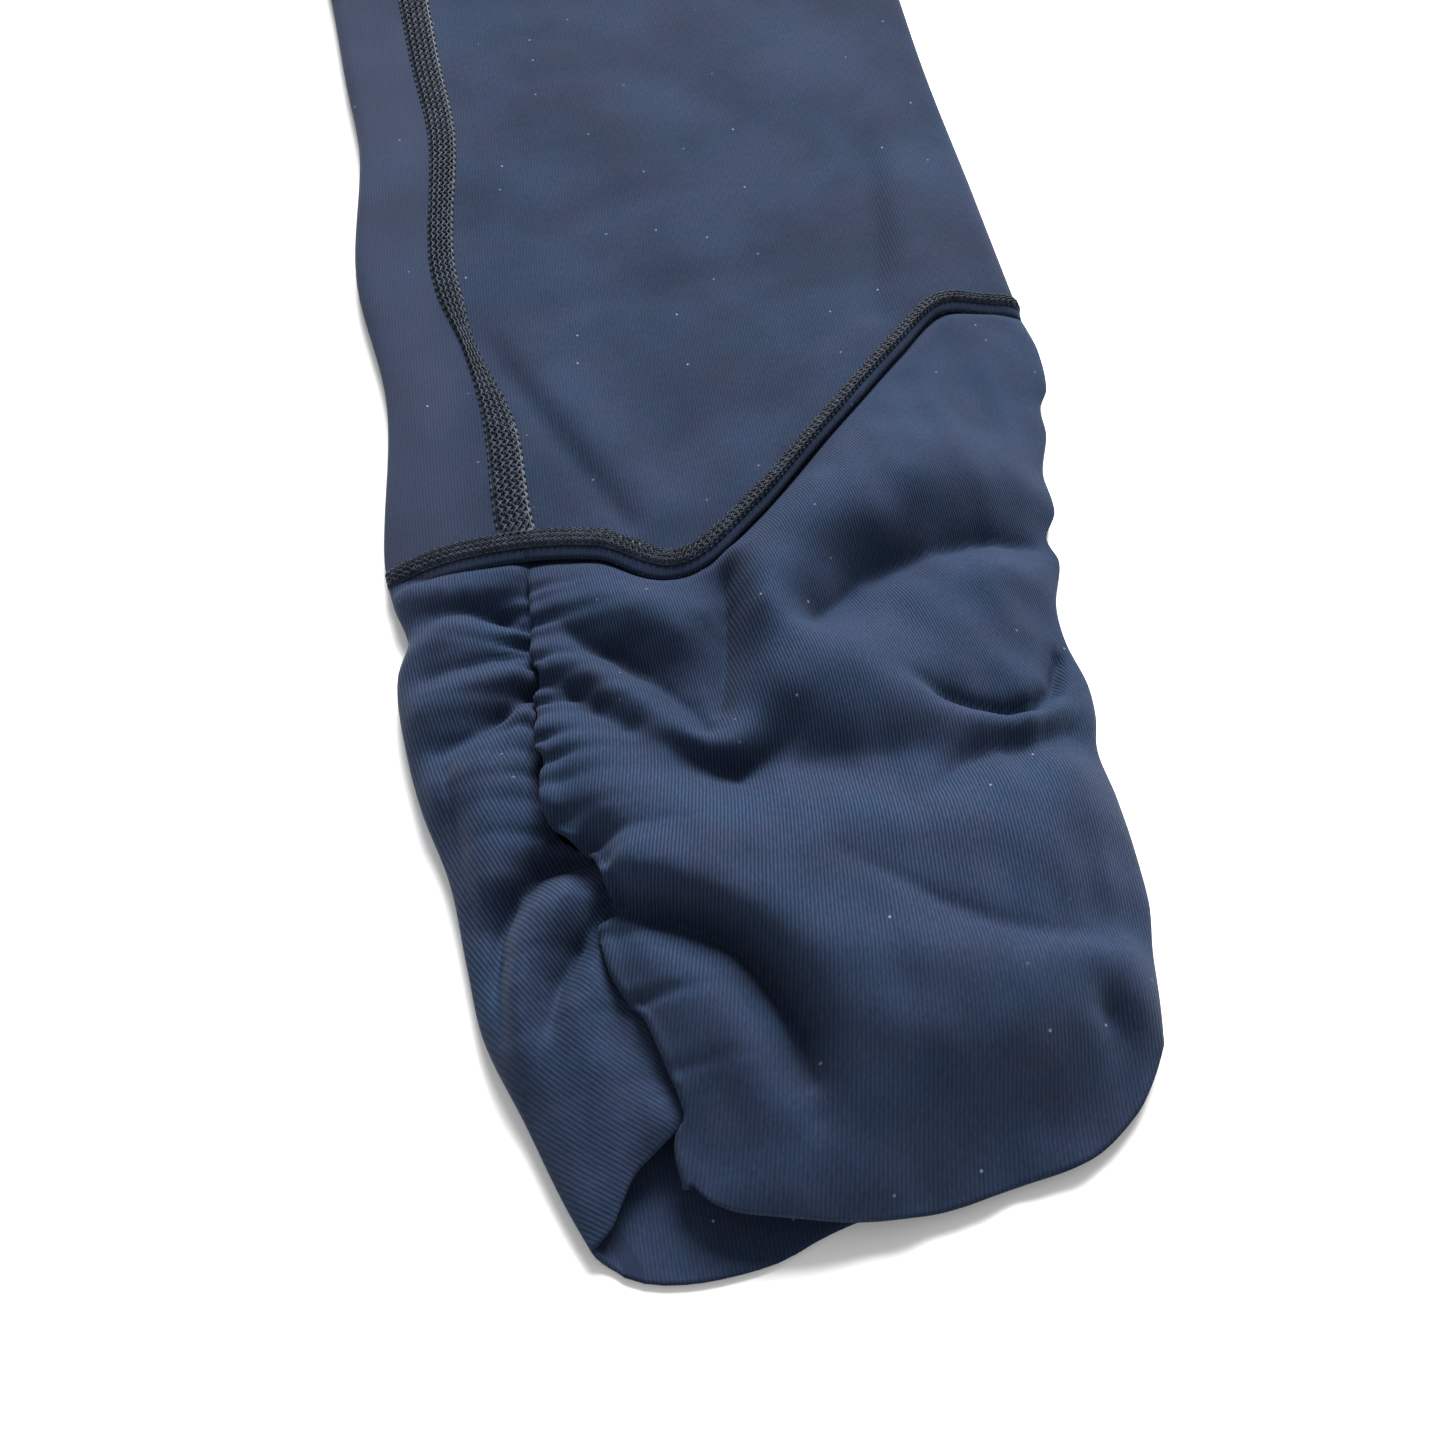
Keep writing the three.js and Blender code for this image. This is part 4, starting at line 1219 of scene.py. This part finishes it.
class LEGGINGS_OT_cuffs(bpy.types.Operator):
    """Make the gathered cuffs"""

    bl_idname = "leggings.cuffs"
    bl_label = "Make Cuffs"

    def execute(self, context):
        points, uv = cuff_cloth()
        points = hem_rolled(points, 7)
        faces = grid_faces(*points.shape[:2])
        for side, mirrored in SIDES:
            piece = new_piece(f"gathered_cuff_{side}", points, faces, uv, mirrored)
            give_thickness(piece, context.scene.leggings_cloth.knit_thickness / MM)
            finish_piece(piece, f"cuff_{side}", knit(False))
        return {"FINISHED"}


class LEGGINGS_OT_seams(bpy.types.Operator):
    """Make the flatlock seams"""

    bl_idname = "leggings.seams"
    bl_label = "Make Seams"

    def execute(self, context):
        parts = np.linspace(0.02, 0.98, 40)
        inner, outer = inner_fold(CUFF_START), outer_fold(OUTER_SEAM_UP)
        across = mix(outer - 4, inner + 4, parts)
        level = cuff_top_back(across)
        under = flush_strip(
            on_leg(across, level - 1.6, 0.0), on_leg(across, level + 1.6, 0.0))
        for side, mirrored in SIDES:
            flatlock(f"cuff_flatlock_{side}", f"cuff_seam_{side}", wavy_seam(), pitch=1.1,
                     columns=3, radius=0.15, crown=0.4, seed=3, mirrored=mirrored, extra=under)
        for side, mirrored in SIDES:
            flatlock(f"inseam_flatlock_{side}", f"inseam_{side}", along_inseam(), pitch=1.65,
                     columns=4, radius=0.19, crown=0.4, seed=5, mirrored=mirrored)
        flatlock("front_rise_flatlock", "front_rise_seam", along_rise(), pitch=1.6, columns=2,
                 radius=0.24, crown=0.5, seed=7)
        x = np.linspace(WAIST_SEAM_HALF - 3, 3 - WAIST_SEAM_HALF, 60)
        y = waist_seam_level(np.abs(x) / WAIST_SEAM_HALF, False)
        under = flush_strip(
            np.stack([x, y - SEAM_HALF, 0 * x], -1), np.stack([x, y + SEAM_HALF, 0 * x], -1))
        flatlock("waist_flatlock", "waist_seam", along_waist(), pitch=1.6, columns=2, radius=0.2,
                 crown=0.45, seed=9, extra=under)
        low = on_leg(inner_fold(CROTCH_UP), CROTCH_UP, 0)[1] + INSEAM_HALF
        y = np.linspace(low, float(waist_seam_level(0, False)) - 2, 30)
        strip = np.stack([
            np.stack([0 * y + INSEAM_HALF, y, 0 * y], -1),
            np.stack([0 * y - INSEAM_HALF, y, 0 * y], -1)])
        piece = new_piece("back_rise_flatlock", strip, grid_faces(2, 30)[:, ::-1])
        give_thickness(piece, 1.0)
        finish_piece(piece, "back_rise_seam", stitching())
        return {"FINISHED"}


class LEGGINGS_OT_waistband(bpy.types.Operator):
    """Make the waistband"""

    bl_idname = "leggings.waistband"
    bl_label = "Make Waistband"

    def execute(self, context):
        rows = np.concatenate([np.linspace(0, 0.96, 20), [0.98, 0.992, 1.0]])[:, None]
        half = mix(WAIST_SEAM_HALF, WAIST_HALF, rows)
        thin = 1 - 0.5 * smooth(rows, 0.97, 1.0)
        radius = FOLD_RADIUS * thin
        lift = FOLD_RADIUS - radius
        columns = 60
        arc = np.linspace(math.pi / 2, -math.pi / 2, 2 * ARC_COLUMNS + 1)[None, 1:-1]
        x_front = mix(-(half - radius), half - radius, np.linspace(0, 1, columns)[None, :])
        zones = []

        def add(x, height, is_front):
            y = waist_seam_level(np.clip(np.abs(x) / half, 0, 1), is_front)
            zones.append(np.stack(np.broadcast_arrays(x, y + rows * BAND_DEEP, height), -1))

        soft = 0.25 * broad_ripples(x_front, rows * BAND_DEEP) * smooth(rows, 0, 0.2)
        soft = soft * (1 - smooth(rows, 0.8, 1.0)) * smooth(half - np.abs(x_front), 0, 12)
        add(x_front, lift * 0.2 + 2 * radius + soft, True)
        add(half - radius + radius * np.cos(arc), lift * 0.2 + radius + radius * np.sin(arc), True)
        add(-x_front, 0 * x_front + lift * 0.2, False)
        add(-(half - radius + radius * np.cos(arc)),
            lift * 0.2 + radius - radius * np.sin(arc), True)
        points = np.concatenate(zones, 1)
        far = np.linspace(0, 2 * math.pi * 110, points.shape[1])
        uv = np.stack(np.broadcast_arrays(far[None, :], rows * BAND_DEEP), -1)
        piece = new_piece("waistband_tube", points,
                          grid_faces(*points.shape[:2], closed=True), uv)
        give_thickness(piece, 1.2)
        finish_piece(piece, "waistband", knit(True))
        return {"FINISHED"}


FLOOR_REACH = 6.0
FLOOR_LEVEL = -0.0002
AIM_ACROSS = -5.0
AIM_UP = 80.0


def aimed(place, ahead):
    """Matrix of a camera or lamp at a place that looks ahead."""
    return Matrix.Translation(place) @ ahead.to_track_quat("-Z", "Y").to_matrix().to_4x4()


class LEGGINGS_OT_stage(bpy.types.Operator):
    """Make the floor, the camera and the lights"""

    bl_idname = "leggings.stage"
    bl_label = "Make Stage"

    def execute(self, context):
        stage = context.scene.leggings_stage
        scene = context.scene
        corners = [[x * FLOOR_REACH, y * FLOOR_REACH, FLOOR_LEVEL]
                   for x, y in ((-1, -1), (1, -1), (1, 1), (-1, 1))]
        floor = new_piece("floor", np.array(corners) / MM, np.array([[0, 1, 2, 3]]))
        n = Nodes("pale floor")
        n.shader.inputs["Base Color"].default_value = (0.93, 0.93, 0.93, 1)
        n.shader.inputs["Roughness"].default_value = 0.9
        floor.data.materials.append(n.material)

        aim = on_leg(AIM_ACROSS, AIM_UP, 0.0) * MM
        away = np.array([math.sin(stage.camera_turn), math.cos(stage.camera_turn), 0])
        rise = stage.camera_rise
        back = math.cos(rise) * away - np.array([0, 0, math.sin(rise)])
        camera = bpy.data.objects.new("camera", bpy.data.cameras.new("camera"))
        camera.data.sensor_width = 36.0
        camera.data.lens = 36.0 * 1400 / 1445
        camera.data.clip_start = 0.01
        camera.data.clip_end = 50.0
        place = Vector(aim - back * stage.camera_distance)
        camera.matrix_world = aimed(place, Vector(back))
        scene.collection.objects.link(camera)
        scene.camera = camera

        def area_light(name, offset, size, power):
            light = bpy.data.lights.new(name, "AREA")
            light.energy = power
            light.size = size
            lamp = bpy.data.objects.new(name, light)
            where = Vector(aim) + Vector(offset)
            lamp.matrix_world = aimed(where, Vector(aim) - where)
            scene.collection.objects.link(lamp)

        area_light("key light", (0.30, 1.05, 0.95), 0.7, stage.key_power)
        world = bpy.data.worlds.new("room")
        world.use_nodes = True
        background = world.node_tree.nodes["Background"]
        background.inputs["Color"].default_value = (1, 1, 1, 1)
        background.inputs["Strength"].default_value = stage.room_light
        scene.world = world
        scene.view_settings.view_transform = "Standard"
        return {"FINISHED"}


class LEGGINGS_PT_panel(bpy.types.Panel):
    """Settings and steps of the leggings"""

    bl_label = "Leggings"
    bl_idname = "LEGGINGS_PT_panel"
    bl_space_type = "VIEW_3D"
    bl_region_type = "UI"
    bl_category = "Leggings"

    def draw(self, context):
        layout = self.layout
        for group in (context.scene.leggings_cloth, context.scene.leggings_stage):
            for name in group.__annotations__:
                layout.prop(group, name)
        for operator in OPERATORS:
            layout.operator(operator.bl_idname)


OPERATORS = (
    LEGGINGS_OT_legs,
    LEGGINGS_OT_cuffs,
    LEGGINGS_OT_seams,
    LEGGINGS_OT_waistband,
    LEGGINGS_OT_stage,
)
CLASSES = (LeggingsCloth, LeggingsStage, *OPERATORS, LEGGINGS_PT_panel)


def register():
    for cls in CLASSES:
        bpy.utils.register_class(cls)
    bpy.types.Scene.leggings_cloth = bpy.props.PointerProperty(type=LeggingsCloth)
    bpy.types.Scene.leggings_stage = bpy.props.PointerProperty(type=LeggingsStage)


def unregister():
    del bpy.types.Scene.leggings_stage
    del bpy.types.Scene.leggings_cloth
    for cls in reversed(CLASSES):
        bpy.utils.unregister_class(cls)


def main():
    register()
    bpy.ops.leggings.legs()
    bpy.ops.leggings.cuffs()
    bpy.ops.leggings.seams()
    bpy.ops.leggings.waistband()
    bpy.ops.leggings.stage()


if __name__ == "__main__":
    main()
